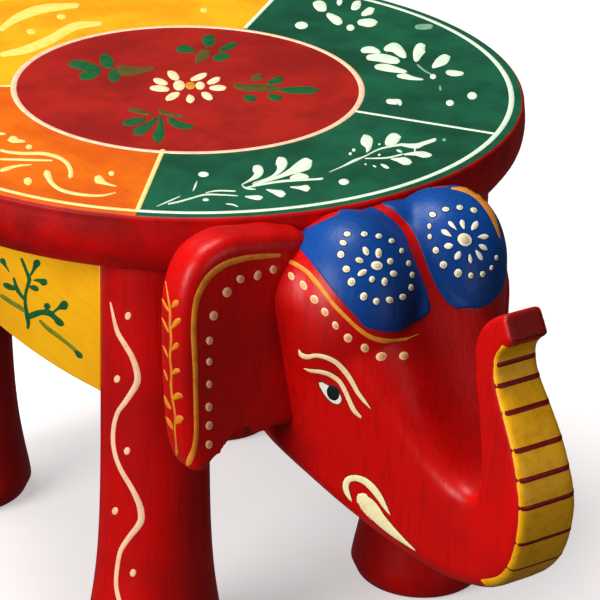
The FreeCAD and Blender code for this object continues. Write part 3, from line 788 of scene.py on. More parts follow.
# The left ear lies back along the head: its outline before it is swung round
SWEPT_OUTLINE_SHARES = (
    (-0.38, 0.66), (-0.1, 0.7), (0.3, 0.715), (0.74, 0.69), (0.95, 0.59), (1.0, 0.44), (0.97, 0.26),
    (0.84, 0.08), (0.62, 0.03), (0.36, 0.09), (0.1, 0.13), (-0.25, 0.14), (-0.4, 0.27), (-0.42, 0.45),
)
EAR_WIDTH = 47 * MM
SWEPT_WIDTH = 34 * MM
EAR_HEIGHT = 105 * MM
EAR_LOW = 126 * MM
EAR_ROUND = 6 * MM
EAR_VOXEL = 1.2 * MM
EAR_ROUNDS = 5
SWEEP = math.radians(60.3)
ear_low, ear_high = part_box("ear_right")
EAR_HINGE = Vector((HEAD_HALF, (ear_low.y + ear_high.y) / 2, 0))


def swung(point):
    """Turns a point of the left ear back about the upright line where it joins the head."""
    return EAR_HINGE + Matrix.Rotation(SWEEP, 3, "Z") @ (point - EAR_HINGE)


def make_ear(side):
    node = f"ear_{side}"
    if side == "right":
        shares, width, root, across = EAR_OUTLINE_SHARES, EAR_WIDTH, EAR_WIDTH, -1
    else:
        shares, width, root, across = SWEPT_OUTLINE_SHARES, SWEPT_WIDTH, EAR_WIDTH / math.cos(SWEEP), 1
    outline = [
        ((HEAD_HALF + (width if w > 0 else root) * w) * across, EAR_LOW + EAR_HEIGHT * h)
        for w, h in spline(shares, 160, closed=True)
    ]
    rounding = EAR_ROUND * width / EAR_WIDTH
    ear = board(node + "_slab", outline, "y", ear_low.y, ear_high.y, MATERIALS["red"], rounding)
    if side == "left":
        for vertex in ear.data.vertices:
            vertex.co = swung(vertex.co)
    carve(ear, EAR_VOXEL, EAR_ROUNDS)
    clear_seat(ear)
    return settle(ear, "red_enamel", node)


# Painted marks. Their points are pixels of the photograph, with a brush width there, seen onto the piece that
# carries them; the sides that it doesn't show take copies.

# The thickness of one coat of paint, and how many coats deep in the piece every mark's rim lies
PAINT_LIFT = 0.24 * MM
RIM_LIFT = -0.4
# Across a brush mark and a dab: shares of the half width, and how many coats thick the paint is there
BRUSH_SECTION_SHARES = ((-1.0, RIM_LIFT), (-0.72, 0.7), (0.0, 1.0), (0.72, 0.7), (1.0, RIM_LIFT))
BLOB_RING_SHARES = ((0.45, 1.0), (0.8, 0.75), (1.0, RIM_LIFT))
BLOB_AROUND = 18
# A longer face would bridge a fold of the piece
LONGEST_FACE = 7 * MM
# The dark edge round a mark: how much wider it is than a stroke, in pixels, the share of that round a dot,
# how many coats it lies under its stroke, and how many coats it has under a dot
EDGE_WIDTH = 2.2
DOT_EDGE_SHARE = 0.4
EDGE_DROP = 0.45
DOT_EDGE_COATS = 0.2
# Shares of a step at which it is tried again where it leaves the piece: for marks, and finely for coats
REACH_SHARES = (1, 0.85, 0.7, 0.5, 0.25, 0)
COAT_REACH_SHARES = tuple(1 - k / 100 for k in range(100))
# A stroke's least number of points, its least width as a share of its step, and its round end's share
# of its length
LEAST_POINTS = 9
LEAST_WIDTH_SHARE = 0.3
CAP_SHARE = 0.4
# Shares of a coat's step: the spacing of its outline, how far in its second line runs, and how far from the
# outline its other points stay
OUTLINE_SHARE = 0.6
INNER_SHARE = 0.35
FREE_SHARE = 0.8
PLAN_TOLERANCE = 1e-5
# How many coats thick the blue is, and how many lie under the marks on it, on the face and in the eye
BLUE_LIFT = 1.5
PEARL_COATS = 1.1
FACE_COATS = 0.2
IRIS_COATS = 0.6
# Half the width of the red stripe between the blue coats
STRIPE_HALF = 8 * MM
# The eye's step between points, and its dark line's width and step, in pixels
EYE_STEP = 1.4
LID_WIDTH = 0.9
LID_STEP = 1.0
# Two-tone dots: each tone's colour, its share of the size and how many coats lie under it
TONES = {
    "bead": (("peach", 1.0, 0.0), ("tan", 0.6, 0.7)),
    "pearl": (("white", 1.0, 0.6), ("straw", 0.6, 1.3)),
}
# The colours of each finish
SLOT_COLOURS = {
    "cream_paint": "cream ivory shell pinkish peach white tan straw sage pale_yellow butter mint",
    "gold_paint": "ochre gold band vine",
    "green_paint": "green moss olive",
    "blue_enamel": "blue navy",
    "red_enamel": "stripe",
    "black_paint": "black",
}
COLOUR_SLOTS = {colour: slot for slot, colours in SLOT_COLOURS.items() for colour in colours.split()}
# On the head's left side the gold edge is shorter and lies further back
FAR_EDGE_POINTS = 9
FAR_EDGE_DOTS = 5
FAR_EDGE_SHIFT = 14 * MM
marks = {}


def tree_of(piece):
    mesh = piece.data
    return BVHTree.FromPolygons([v.co for v in mesh.vertices], [p.vertices for p in mesh.polygons])


def pixel_canvas(tree):
    """The spot of a piece that shows at a pixel of the photograph, and the way that its surface faces."""
    def spot(x, y):
        ray = sight((x, y))
        point, normal = tree.ray_cast(EYE, ray)[:2]
        if point is None:
            return None
        return point, -normal if normal.dot(ray) > 0 else normal
    return spot


def plane_canvas(axis, height, normal):
    """The spot of a flat face across an axis that shows at a pixel."""
    def spot(x, y):
        ray = sight((x, y))
        return EYE + ray * ((height - EYE[axis]) / ray[axis]), Vector(normal)
    return spot


def seat_plan(x, y):
    """A spot of the seat's top by its distances across and rearward from the axis."""
    return SEAT_CENTRE + Vector((x, y, 0)), Vector((0, 0, 1))


def reach(canvas, x, y, dx, dy, shares=REACH_SHARES):
    """The canvas's spot at a step from a point, or nearer to the point where the step leaves the piece."""
    for share in shares:
        spot = canvas(x + dx * share, y + dy * share)
        if spot:
            return spot
    return None


def stitch(rows, closed=False):
    """Spots and faces of rows of spots, without the faces that would bridge a fold."""
    spots = []
    faces = []
    starts = []
    for row in rows:
        starts.append(len(spots) if row else None)
        spots.extend(row or ())
    pairs = list(zip(range(len(rows)), range(1, len(rows))))
    if closed:
        pairs.append((len(rows) - 1, 0))
    for one, two in pairs:
        if starts[one] is None or starts[two] is None:
            continue
        for k in range(len(rows[one]) - 1):
            a, b = starts[one] + k, starts[two] + k
            if (spots[a][0] - spots[b][0]).length < LONGEST_FACE:
                faces.append((a, a + 1, b + 1, b))
    return spots, faces


def stroke(canvas, points, step=1.3, section=BRUSH_SECTION_SHARES, coats=0.0, closed=False, blunt=False):
    """One brush mark along (x, y, width) points, with round ends."""
    p = np.array(points, float)
    count = max(LEAST_POINTS, int(np.linalg.norm(np.diff(p[:, :2], axis=0), axis=1).sum() / step))
    line = spline(p, count, closed)
    if closed:
        ahead = np.roll(line, -1, 0)[:, :2] - np.roll(line, 1, 0)[:, :2]
    else:
        ahead = np.gradient(line[:, :2], axis=0)
    ahead = ahead / np.linalg.norm(ahead, axis=1)[:, None]
    run = np.concatenate([[0], np.cumsum(np.linalg.norm(np.diff(line[:, :2], axis=0), axis=1))])
    rows = []
    for (x, y, width), (ax, ay), gone in zip(line, ahead, run):
        half = max(width, step * LEAST_WIDTH_SHARE) / 2
        left = min(gone, run[-1] - gone)
        cap = min(half, run[-1] * CAP_SHARE)
        if not closed and not blunt and left < cap:
            half *= math.sqrt(max(0.02, 1 - (1 - left / cap) ** 2))
        row = []
        for share, lift in section:
            spot = reach(canvas, x, y, -ay * half * share, ax * half * share)
            if spot:
                row.append((*spot, lift + coats))
        rows.append(row if len(row) == len(section) else None)
    return stitch(rows, closed)


def blob(canvas, x, y, across, up, turn, coats=0.0):
    """One oval dab by its middle, its two half sizes and its turn in degrees."""
    c, s = math.cos(math.radians(turn)), math.sin(math.radians(turn))
    middle = canvas(x, y)
    if middle is None:
        return (), ()
    spots = [(*middle, 1 + coats)]
    for size, lift in BLOB_RING_SHARES:
        for k in range(BLOB_AROUND):
            angle = 2 * math.pi * k / BLOB_AROUND
            a, b = across * size * math.cos(angle), up * size * math.sin(angle)
            spots.append((*reach(canvas, x, y, a * c + b * s, b * c - a * s), lift + coats))
    faces = []
    for k in range(BLOB_AROUND):
        n = (k + 1) % BLOB_AROUND
        faces.append((0, 1 + k, 1 + n))
        for ring in range(len(BLOB_RING_SHARES) - 1):
            a, b = 1 + ring * BLOB_AROUND, 1 + (ring + 1) * BLOB_AROUND
            faces.append((a + k, b + k, b + n, a + n))
    return spots, faces


def inside(outline, x, y):
    """Whether a point is inside an outline."""
    odd = False
    for (ax, ay), (bx, by) in zip(outline, np.roll(outline, -1, 0)):
        if (ay > y) != (by > y) and x < ax + (y - ay) / (by - ay) * (bx - ax):
            odd = not odd
    return odd


def area(canvas, outline, step=2.2, lift=0.5, smooth=True):
    """A coat of paint over the inside of an outline of (x, y) points."""
    o = np.array(outline, float)
    around = np.linalg.norm(o - np.roll(o, -1, 0), axis=1).sum()
    ring = spline(o, int(around / (step * OUTLINE_SHARE)), closed=True) if smooth else o
    middle = ring.mean(0)
    tangent = np.roll(ring, -1, 0) - np.roll(ring, 1, 0)
    inward = np.stack([-tangent[:, 1], tangent[:, 0]], -1) / np.linalg.norm(tangent, axis=1)[:, None]
    if (inward * (middle - ring)).sum() < 0:
        inward = -inward
    second = ring + inward * step * INNER_SHARE
    flat = [Vector(p) for p in ring] + [Vector(p) for p in second]
    low, high = ring.min(0), ring.max(0)
    for x in np.arange(low[0] + step / 2, high[0], step):
        for y in np.arange(low[1] + step / 2, high[1], step):
            if inside(ring, x, y) and np.linalg.norm(ring - (x, y), axis=1).min() > step * FREE_SHARE:
                flat.append(Vector((x, y)))
    count = len(ring)
    edges = [(k, (k + 1) % count) for k in range(count)]
    placed, _, faces, origins = delaunay_2d_cdt(flat, edges, [], 1, PLAN_TOLERANCE)[:4]
    spots = []
    for p, origin in zip(placed, origins):
        spot = reach(canvas, middle[0], middle[1], p.x - middle[0], p.y - middle[1], COAT_REACH_SHARES)
        rim = any(k < count for k in origin)
        spots.append((*spot, RIM_LIFT if rim else lift))
    return spots, faces


def off_middle(shape):
    """A coat without its faces beside the stripe between the domes."""
    spots, faces = shape
    return spots, [face for face in faces if min(abs(spots[k][0].x) for k in face) > STRIPE_HALF]


def same(point, normal):
    return point, normal


def mirrored(point, normal):
    """The other side of the elephant."""
    return Vector((-point.x, point.y, point.z)), Vector((-normal.x, normal.y, normal.z))


def mirrored_back(point, normal):
    """The other side, a little to the rear, as the edge there is painted."""
    return mirrored(point + Vector((0, FAR_EDGE_SHIFT, 0)), normal)


def lay(name, colour, shape, copies=(same,)):
    """Adds a mark, and its copies, to those of a piece and colour."""
    points, all_faces = marks.setdefault((name, colour), ([], []))
    spots, faces = shape
    for copy in copies:
        start = len(points)
        for point, normal, lift in spots:
            point, normal = copy(point, normal)
            points.append(point + normal * lift * PAINT_LIFT)
        all_faces.extend(tuple(start + k for k in face) for face in faces)


def tones_of(colour):
    return TONES.get(colour, ((colour, 1, 0),))


def draw(name, canvas, strokes=None, dots=None, copies=(same,), coats=0.0, edge=None):
    """Lays strokes and dots, both by colour; an edge colour shows round them."""
    for colour, lines in (strokes or {}).items():
        tone, _, under = tones_of(colour)[0]
        own = coats + under
        for points in lines:
            if edge:
                wider = [(x, y, width + EDGE_WIDTH) for x, y, width in points]
                lay(name, edge, stroke(canvas, wider, coats=own - EDGE_DROP), copies)
            lay(name, tone, stroke(canvas, points, coats=own), copies)
    rim = EDGE_WIDTH * DOT_EDGE_SHARE
    for colour, spots in (dots or {}).items():
        for x, y, across, up, turn in spots:
            if edge:
                shape = blob(canvas, x, y, across + rim, up + rim, turn, coats + DOT_EDGE_COATS)
                lay(name, edge, shape, copies)
            for tone, size, under in tones_of(colour):
                lay(name, tone, blob(canvas, x, y, across * size, up * size, turn, under + coats), copies)


def hang_marks():
    """Makes the marks' meshes, one for each piece and colour."""
    for (name, colour), (points, faces) in marks.items():
        piece = make_mesh(f"{name}_{colour}", points, faces, MATERIALS[colour])
        tidy_normals(piece)
        settle(piece, COLOUR_SLOTS[colour])


# Marks on the medallion: each colour's strokes, of points with the stroke's width there, in pixels
MEDALLION_STROKES = {
    "cream": (
        ((167.8, 71.6, 5), (173.3, 75.5, 9.1), (179.1, 79.3, 5)),
        ((153.4, 79.3, 4), (160, 81.6, 7), (167.8, 83.9, 4)),
        ((149.8, 87.9, 4), (159.2, 88.4, 7), (169.5, 89.6, 4)),
        ((165.5, 99.5, 4.3), (172.5, 96.2, 7.6), (179.8, 93.2, 4.3)),
        ((188.7, 94.9, 6), (190.4, 99.5, 9.6), (191, 103.2, 5.8)),
        ((201.5, 92.9, 4.3), (207, 95.9, 8), (212.6, 99, 5)),
        ((209.3, 87.9, 3.6), (218.1, 87.9, 6.6), (226.4, 87.9, 4.3)),
        ((207, 83.3, 3.3), (213.9, 80.8, 6.6), (220.2, 77.9, 4.3)),
        ((190.4, 79.9, 3.3), (199, 77.1, 6.6), (207, 73.8, 4)),
    ),
    "green": (
        ((121.9, 123.5, 4.1), (132.7, 121.9, 8.6), (145.9, 118.6, 3.6)),
        ((132.7, 131.8, 5.8), (141, 130.2, 10.6), (151.7, 122.7, 6.3), (156.7, 116.1, 2.5)),
        ((156.7, 143, 8.3), (158.4, 136, 12.3), (160.5, 127.7, 8.3), (160, 116.1, 3)),
        ((193.7, 126.9, 3.3), (184.1, 126, 7.3), (174.1, 122.7, 8.3), (167.5, 118.1, 3.6)),
        ((68.3, 63.8, 5), (79.6, 64.7, 10.3), (92.9, 68, 9.6), (100.3, 69.7, 5)),
        ((103.2, 53.4, 8.3), (106.1, 60.5, 14.6), (112.8, 67.2, 10.3)),
        ((79.3, 76.3, 7.5), (89.6, 75, 10.3), (100.3, 71.6, 6)),
        ((110.8, 81.6, 8.3), (114.4, 75.5, 13.9), (116.4, 68.8, 8.3)),
        ((176.1, 49.8, 5), (184.1, 48.9, 9.3), (194.9, 50.1, 4)),
        ((209.3, 34, 9.1), (208.6, 39.8, 15.9), (204.8, 46.1, 10)),
        ((236.8, 43.4, 4.1), (228.9, 46.4, 7.6), (218.9, 50.6, 4.3)),
        ((230.2, 55.1, 5), (220.6, 57.2, 8.6), (212.6, 58.4, 4)),
        ((281.1, 90.2, 4.2), (288.2, 90.2, 7), (298.7, 90.2, 8.4), (309.2, 90.2, 8.1), (318.3, 90.2, 4.2)),
        ((267.1, 83.5, 4.2), (276.9, 80.4, 8.1), (283.9, 79.5, 5.6)),
        ((243.2, 96.5, 4.2), (250.3, 98.5, 8.1), (256.6, 98, 4.2)),
        ((267.8, 95.4, 4.2), (275.5, 97.9, 7.3), (282.5, 96.8, 3.5)),
    ),
    "moss": (
        ((128, 109.1, 3.3), (137.6, 110.8, 6), (150.1, 114.4, 3.3)),
        ((184.1, 116.1, 2.5), (174.1, 115.3, 4.1), (164.2, 112.8, 5), (158.4, 110.3, 6.6)),
        ((116.1, 69.7, 13.3), (131, 71, 10), (142.6, 70, 6.6), (155.1, 67.7, 2.5)),
        ((195.7, 63.8, 2.5), (201.5, 55.6, 11.6), (210.6, 52.2, 8.3)),
        ((251, 79.6, 4.2), (258, 77.2, 8), (264.3, 75.8, 4.2)),
        ((233.4, 85.3, 5.6), (246.1, 87.5, 8.4), (267.1, 88.2, 7.7), (282.5, 89.8, 5.6)),
    ),
}

# Dots: each colour's, by the middle, the two half sizes and the turn in degrees
MEDALLION_DOTS = {
    "cream": ((179.1, 85.4, 6.3, 5.5, 0), (200.2, 85.6, 5, 4.3, 0)),
    "ochre": ((190.4, 85.6, 5.6, 4, 0),),
}

# Scrolls on the orange sector
ORANGE_STROKES = {
    "butter": (
        (
            (0, 150.1, 2.7), (10, 152.2, 3), (24.9, 153.4, 3.3), (41.5, 153.4, 3.6), (54.7, 155.9, 4),
            (64.7, 160.9, 4.3), (69.7, 167.5, 5), (71, 174.1, 5.3), (69.3, 178.1, 6),
        ),
        ((0, 159.2, 2), (16.6, 159.5, 2.3), (33.2, 160, 2.3), (53.1, 160.5, 1.3)),
        ((0, 170.8, 3.6), (6.6, 168.8, 4.3), (18.2, 165.8, 2.3), (32, 164.7, 0.8)),
        (
            (45.6, 170.5, 8.6), (48.1, 175.8, 7.3), (51.4, 182.4, 5), (59.7, 189.1, 4), (73, 193.2, 3.3),
            (89.6, 195.4, 2.7), (102.8, 195.4, 2), (116.4, 192.7, 1),
        ),
        ((94.9, 177.1, 8.3), (98.2, 179.1, 10), (106.1, 183.4, 3.3), (116.4, 186.4, 0.8)),
        ((108.6, 173.3, 5), (114.4, 173.5, 5.6)),
    ),
}

# Dots on the orange sector
ORANGE_DOTS = {
    "butter": ((13.3, 139.3, 5, 3.8, 0), (29, 146.8, 3.6, 2.5, 0), (27.9, 181.1, 4.5, 4.1, 0)),
}

# Sprigs on the two green sectors
GREEN_STROKES = {
    "mint": (
        ((197.3, 181, 0.6), (195.3, 186.1, 2.4), (192.7, 191.8, 0.8)),
        ((156.5, 206.7, 0.6), (168.8, 201.4, 1.4), (180.6, 196.3, 0.8)),
        (
            (167.8, 204.1, 1.2), (179, 201.8, 1.6), (191.2, 198.4, 1.6), (205.5, 194.7, 1.6),
            (221.8, 194.9, 1.2), (238.2, 195.9, 0.6),
        ),
        ((205.5, 192.9, 0.6), (217.8, 190.8, 1.4), (236.1, 191.2, 1.2)),
        ((225.9, 203.9, 0.6), (233.1, 204.7, 1.2), (238.2, 206.9, 0.6)),
        (
            (241.2, 185.1, 0.8), (250.4, 180, 2.9), (256.9, 175.3, 7.3), (258.2, 170.8, 12.2),
            (253.7, 166.3, 9),
        ),
        (
            (252.4, 183.5, 0.8), (270.8, 177.3, 2.4), (279.4, 170.4, 6.1), (281.4, 163.3, 13.5),
            (278.2, 157.6, 10.2),
        ),
        (
            (252.4, 185.1, 1), (272.9, 179, 2.9), (287.1, 173.3, 5.7), (299.4, 167.1, 11.8),
            (307.6, 163.1, 13.5), (312, 161, 7.3),
        ),
        (
            (244.3, 188.2, 1.2), (260.6, 184.7, 2), (281, 181.4, 2.4), (299.4, 180, 2.4),
            (313.7, 179.4, 1.8), (323.5, 178.6, 2.4),
        ),
        ((289.8, 178, 2.9), (299.4, 176.7, 8.2), (309, 177.3, 4.1)),
        ((290.2, 187.1, 0.8), (299.4, 187.6, 3.7), (306.5, 188.2, 7.3), (310.2, 188.6, 4.5)),
        ((266.3, 189.6, 0.8), (273.9, 191.6, 4.5), (281, 193.7, 7.8), (285.7, 194.1, 4.5)),
        ((244.9, 196.5, 0.8), (252.4, 197.3, 4.1), (258.6, 197.6, 5.3), (263.1, 197.6, 2.4)),
        ((241.8, 185.5, 0.8), (246.7, 188.4, 1.8), (255.9, 189.4, 0.8)),
        (
            (329, 172.4, 0.6), (342.2, 166.7, 1.4), (353.5, 161, 2.9), (364.7, 156.5, 1.4),
            (379, 149.4, 1.6), (393.3, 145.9, 2), (403.5, 144.3, 2.9),
        ),
        ((366.7, 152.9, 0.8), (368.4, 147.3, 6.9), (366.7, 141.2, 13.9), (363.9, 135.1, 10.6)),
        ((385.7, 145.5, 2.4), (388.4, 142.2, 9), (393.7, 138.6, 12.7), (401, 137.1, 5.7)),
        ((401.4, 144.7, 2.9), (415.7, 145.9, 5.7), (423.9, 143.3, 4.5), (436.5, 139.2, 3.7)),
        ((415.7, 146.3, 2.4), (414.7, 152, 1.6)),
        ((403.5, 154.5, 1.2), (415.7, 153.5, 4.5), (423.9, 154.5, 6.9), (432, 155.3, 2.9)),
        ((364.7, 158.6, 0.8), (387.1, 157.8, 1.6), (403.5, 154.1, 1.6)),
        ((390.8, 159, 0.8), (397.3, 159.6, 4.1), (404.5, 161, 8.6), (412, 162.7, 4.1)),
        ((380.6, 164.3, 0.8), (385.1, 166.3, 3.7), (389.2, 168.2, 1.6)),
        ((372.9, 165.5, 0.8), (376.3, 167.1, 1.8)),
        ((360.7, 50.5, 5.5), (371.1, 49.7, 7.7), (380.6, 52.8, 4)),
        ((366.2, 57.4, 5.5), (380.3, 57.7, 9.2), (391, 59.7, 8.9), (399.9, 61.5, 5.5)),
        ((383.7, 49.3, 4.6), (394.1, 47.5, 11), (401, 52.8, 9.5), (406, 57.7, 4)),
        ((374.5, 66.6, 4.6), (384.9, 67.4, 8.3), (395.6, 69.6, 6.7), (407.1, 71.9, 2.8)),
        ((396.8, 75.8, 2.8), (404.8, 76.2, 6.4), (412.5, 78.1, 4.3), (423.5, 79.6, 1.5)),
        ((415.8, 62, 4.3), (417.8, 53.6, 11), (421.6, 47.5, 12.6), (425.3, 45.6, 6.1)),
        ((432, 67.7, 2.8), (438.5, 62.8, 9.5), (444.9, 58.9, 11), (450.4, 57.1, 4.6)),
        ((445.8, 71.9, 4.6), (453.8, 73.2, 6.7), (464, 73.5, 3.7)),
        ((386.1, 101, 4.9), (394.1, 101.8, 6.1), (399.4, 101.8, 5.5), (400.5, 105.9, 3.1)),
        ((313, 3.1, 6.1), (320.6, 6.1, 12.2), (326, 10.7, 6.1)),
        ((326.7, 13.8, 4.6), (335.9, 19.9, 9.5), (342.3, 23.3, 6.1)),
        ((337.1, 0.8, 6.1), (342, 3.4, 8.3)),
        ((351.2, 9.2, 3.7), (355.8, 5.8, 9.5), (360.4, 1.2, 6.1)),
        ((361.2, 15, 3.7), (369.6, 11, 8.3), (374.5, 8.9, 3.7)),
        ((357.4, 22.2, 5.5), (369.6, 22.7, 9.5), (377.6, 22.2, 4.3)),
    ),
    "sage": (
        ((414.8, 26.8, 4.6), (423.2, 26.8, 6.4), (433.1, 26.3, 4.9)),
        ((417, 64.3, 2.1), (424.7, 70.7, 1.8), (432.7, 75, 1.2)),
        ((440, 85.7, 1.8), (440.8, 90.6, 3.1)),
    ),
}

# Dots on the two green sectors
GREEN_DOTS = {
    "mint": (
        (203.5, 174.3, 5.7, 2.9, 0), (205.9, 199.8, 3.5, 1.4, 0), (343.9, 181.8, 5.7, 3.3, 0),
        (353.9, 150, 2, 1.6, 0), (350.4, 153.7, 1.8, 1.4, 0), (379.4, 144.3, 1.4, 0.8, 0),
        (399.4, 151, 3.3, 1.2, -20), (379.4, 154.9, 1.6, 1, 0), (365.7, 164.3, 1.2, 0.8, 0),
        (433.1, 76.5, 3.4, 2.8, 0), (472.2, 95.7, 5.2, 4, 0), (450, 102.9, 4.3, 3.2, 0),
        (301.5, 25.3, 7, 4, 0), (350.5, 27.6, 4.3, 3.4, 0),
    ),
    "sage": ((444.3, 139.8, 2.2, 1.4, 0),),
}

# The gold edge on the head's right side
GOLD_EDGE = (
    (280.4, 255.5, 2), (286.1, 259.4, 5.1), (295.3, 264.1, 4.7), (306.5, 271.6, 4.7), (315.7, 281.8, 5.5),
    (324.9, 293.5, 4.7), (335.1, 306.3, 4.7), (347.3, 318.6, 4.3), (359.6, 329.8, 4.7), (371.8, 337.6, 5.1),
    (384.1, 340.8, 5.5), (394.3, 340.4, 3.5), (402.4, 339.6, 3.1), (407.6, 338.8, 3.1), (412.7, 336.7, 1.4),
    (418.8, 333.9, 0.6),
)

# The two brows, and the tusk
BROWS = (
    (
        (298.8, 349.4, 1.2), (301.4, 354.7, 5.3), (307.6, 356.9, 5.9), (315.7, 355.5, 4.9),
        (325.9, 357.3, 5.5), (336.1, 362.4, 5.9), (344.3, 370.6, 6.3), (351.4, 380.8, 5.9),
        (357.6, 392, 5.1), (363.7, 400.2, 4.3), (370.8, 408.6, 1),
    ),
    (
        (304.1, 368.2, 0.8), (310.6, 370.6, 4.1), (320.8, 371.8, 5.1), (330, 374.7, 5.5),
        (339.2, 381.2, 5.5), (344.9, 390.4, 5.5), (349.4, 400.6, 5.5), (354.5, 410.8, 5.5),
        (361.6, 417.8, 3.1),
    ),
)
TUSK = (
    (
        (351.8, 501.2, 1.6), (347.8, 494.1, 5.7), (345.7, 485.9, 7.3), (348.4, 479.6, 7.8),
        (355.9, 478, 7.3), (364.7, 481, 8), (372.9, 488.2, 8.4), (380, 497.8, 7.3), (385.1, 506.7, 4.9),
        (390.4, 514.9, 1),
    ),
    (
        (358.4, 493.9, 6.9), (362, 498.4, 13.1), (369.8, 507.8, 15.9), (380, 519, 13.7), (391.2, 530.2, 10),
        (402.4, 540, 5.9), (415.7, 550.6, 1),
    ),
)

# The row of dots under the gold edge
FACE_DOTS = (
    (291.2, 276.1, 3.1, 4.7, 28), (303.5, 285.3, 3.3, 5.5, 28), (314.3, 299.4, 4.1, 5.1, 35),
    (324.9, 312, 3.7, 4.9, 30), (335.5, 325.5, 3.3, 4.7, 25), (348, 338, 4.5, 4.9, 35),
    (364.9, 348, 4.3, 4.9, 30), (381.4, 356.5, 6.1, 4.7, 15), (403.9, 355.9, 5.1, 4.5, 10),
)

# The eye's almond
EYE_OUTLINE = (
    (318.8, 382.4), (322, 381.8), (326.1, 383.9), (331, 386.7), (336.1, 389.8), (339.8, 393.5),
    (342, 398.4), (341.2, 402.4), (338.2, 404.5), (333.5, 403.5), (329, 400.4), (324.9, 395.7),
    (321.4, 390), (319.2, 385.7),
)
EYE_IRIS = (333.2, 392.8, 6.4, 8.4, 22)

# The right ear's gold edge and the vine on its outer side
EAR_STROKES = {
    "gold": (
        (
            (281.2, 255.4, 4.3), (264.3, 256.2, 5.7), (250, 257.5, 6.2), (239.3, 259.8, 6.6),
            (228.6, 262.9, 7), (217.9, 268.8, 7.3), (208.9, 276.8, 7.3), (201.8, 287.5, 7),
            (196.8, 300, 6.6), (194.3, 316.1, 6.2), (193.8, 333.9, 6.2), (194.6, 351.8, 6.1),
            (195.4, 369.6, 5.7), (195.7, 387.5, 5.4), (196.1, 405.4, 5.4), (196.4, 423.2, 5.4),
            (196.1, 437.5, 5.5), (193.8, 450, 6.2), (190.2, 458.9, 7.3), (187.5, 466.1, 5.4),
        ),
    ),
    "vine": (
        (
            (165.7, 281.2, 0.5), (167.9, 296.4, 1.6), (170, 310.7, 2.3), (170, 325, 2.7),
            (171.1, 339.3, 2.3), (170, 357.1, 2.3), (171.4, 371.4, 2.3), (171.1, 385.7, 2.7),
            (172.3, 398.2, 2.3), (175, 414.3, 2.1), (175, 430.4, 1.8), (175.9, 441.1, 1.6), (177, 455.7, 3),
        ),
        ((171.8, 307.9, 1.8), (175, 303.6, 6.4), (178.6, 300.5, 4.6)),
        ((171.1, 329.3, 1.8), (176.8, 321.8, 6.4), (181.1, 319.3, 5)),
        ((171.1, 350.9, 1.4), (176.1, 345.7, 6.1), (178.6, 342.9, 3.6)),
        ((171.8, 374.6, 1.1), (176.4, 370.9, 6.4), (180.4, 371.8, 2.1)),
        ((172.1, 400.4, 1.8), (177.7, 395.7, 7.5), (183, 397.3, 2.9)),
        ((174.6, 424.3, 1.8), (179.1, 419.3, 10), (183.9, 418.9, 2.9)),
        ((161.1, 296.1, 0.5), (165.2, 305.4, 2.9), (168.9, 311.8, 1.4)),
        ((162, 317.5, 0.5), (165.2, 325, 2.5), (168.6, 332.5, 1.1)),
        ((162.9, 345.2, 0.5), (165.7, 351.8, 2.3), (168, 357.5, 0.9)),
        ((163.9, 369.3, 0.5), (166.1, 375.9, 2.3), (167.7, 380.7, 0.9)),
        ((164.3, 395.2, 0.7), (167, 403.6, 4.1), (170.9, 409.3, 2.1)),
        ((165.9, 416.6, 1.1), (169.6, 423.2, 4.5), (173, 429.8, 1.4)),
    ),
}

# Dots inside the ear's gold edge
EAR_DOTS = {
    "bead": (
        (273.2, 269.6, 3.8, 4.5, 0), (257.7, 275.4, 3.8, 5.4, -20), (240.5, 279.1, 4.3, 4.3, 0),
        (227.1, 292.3, 4.8, 5.4, -15), (213.8, 315.7, 4.5, 5.2, -15), (209.6, 340.7, 3.8, 4.5, 0),
        (209.3, 361.6, 3.2, 4.1, 0), (209.3, 384.3, 3.2, 4.3, 0), (208.9, 407.1, 3.8, 4.8, 0),
        (209.3, 425.5, 3.8, 4.8, -15), (209.1, 444.6, 3.8, 4.5, 0),
    ),
}

# The near dome's flower and its ring of dots
NEAR_DOME_DOTS = (
    (376.5, 265.9, 6.7, 5.1, -10), (365.7, 251.6, 3.3, 5.3, 25), (378.2, 253.7, 3.7, 5.7, 0),
    (389.6, 261.6, 3.7, 3.7, 0), (392.9, 273.9, 4.3, 3.5, -20), (384.1, 281.8, 3.5, 4.9, 0),
    (371.8, 279.4, 3.3, 3.7, -20), (362.2, 272.9, 5.9, 3.1, 30), (359.4, 260.6, 4.7, 3.1, -20),
    (347.3, 234.7, 4, 2.9, 0), (364.1, 234.7, 3.8, 2.9, 0), (378.4, 236.8, 3.8, 2.9, 0),
    (390.9, 241.5, 3.5, 3, 0), (400.7, 251.3, 2.7, 3.2, 0), (407.6, 263.7, 2.9, 3.5, 0),
    (411.1, 275.2, 2.9, 3.8, 0), (410, 287.6, 3, 4, 0), (402, 296.9, 4, 3.7, 0),
    (389.1, 299.9, 4.5, 3.8, -20), (376, 301.2, 3.8, 4, -20), (363.6, 296.4, 4.1, 4.8, -20),
    (351.6, 282, 4.3, 4.9, -20), (346.5, 269.3, 4.3, 3.8, -10), (341.1, 254.9, 4, 4, 0),
    (343.3, 243.3, 4.1, 3, -15),
)

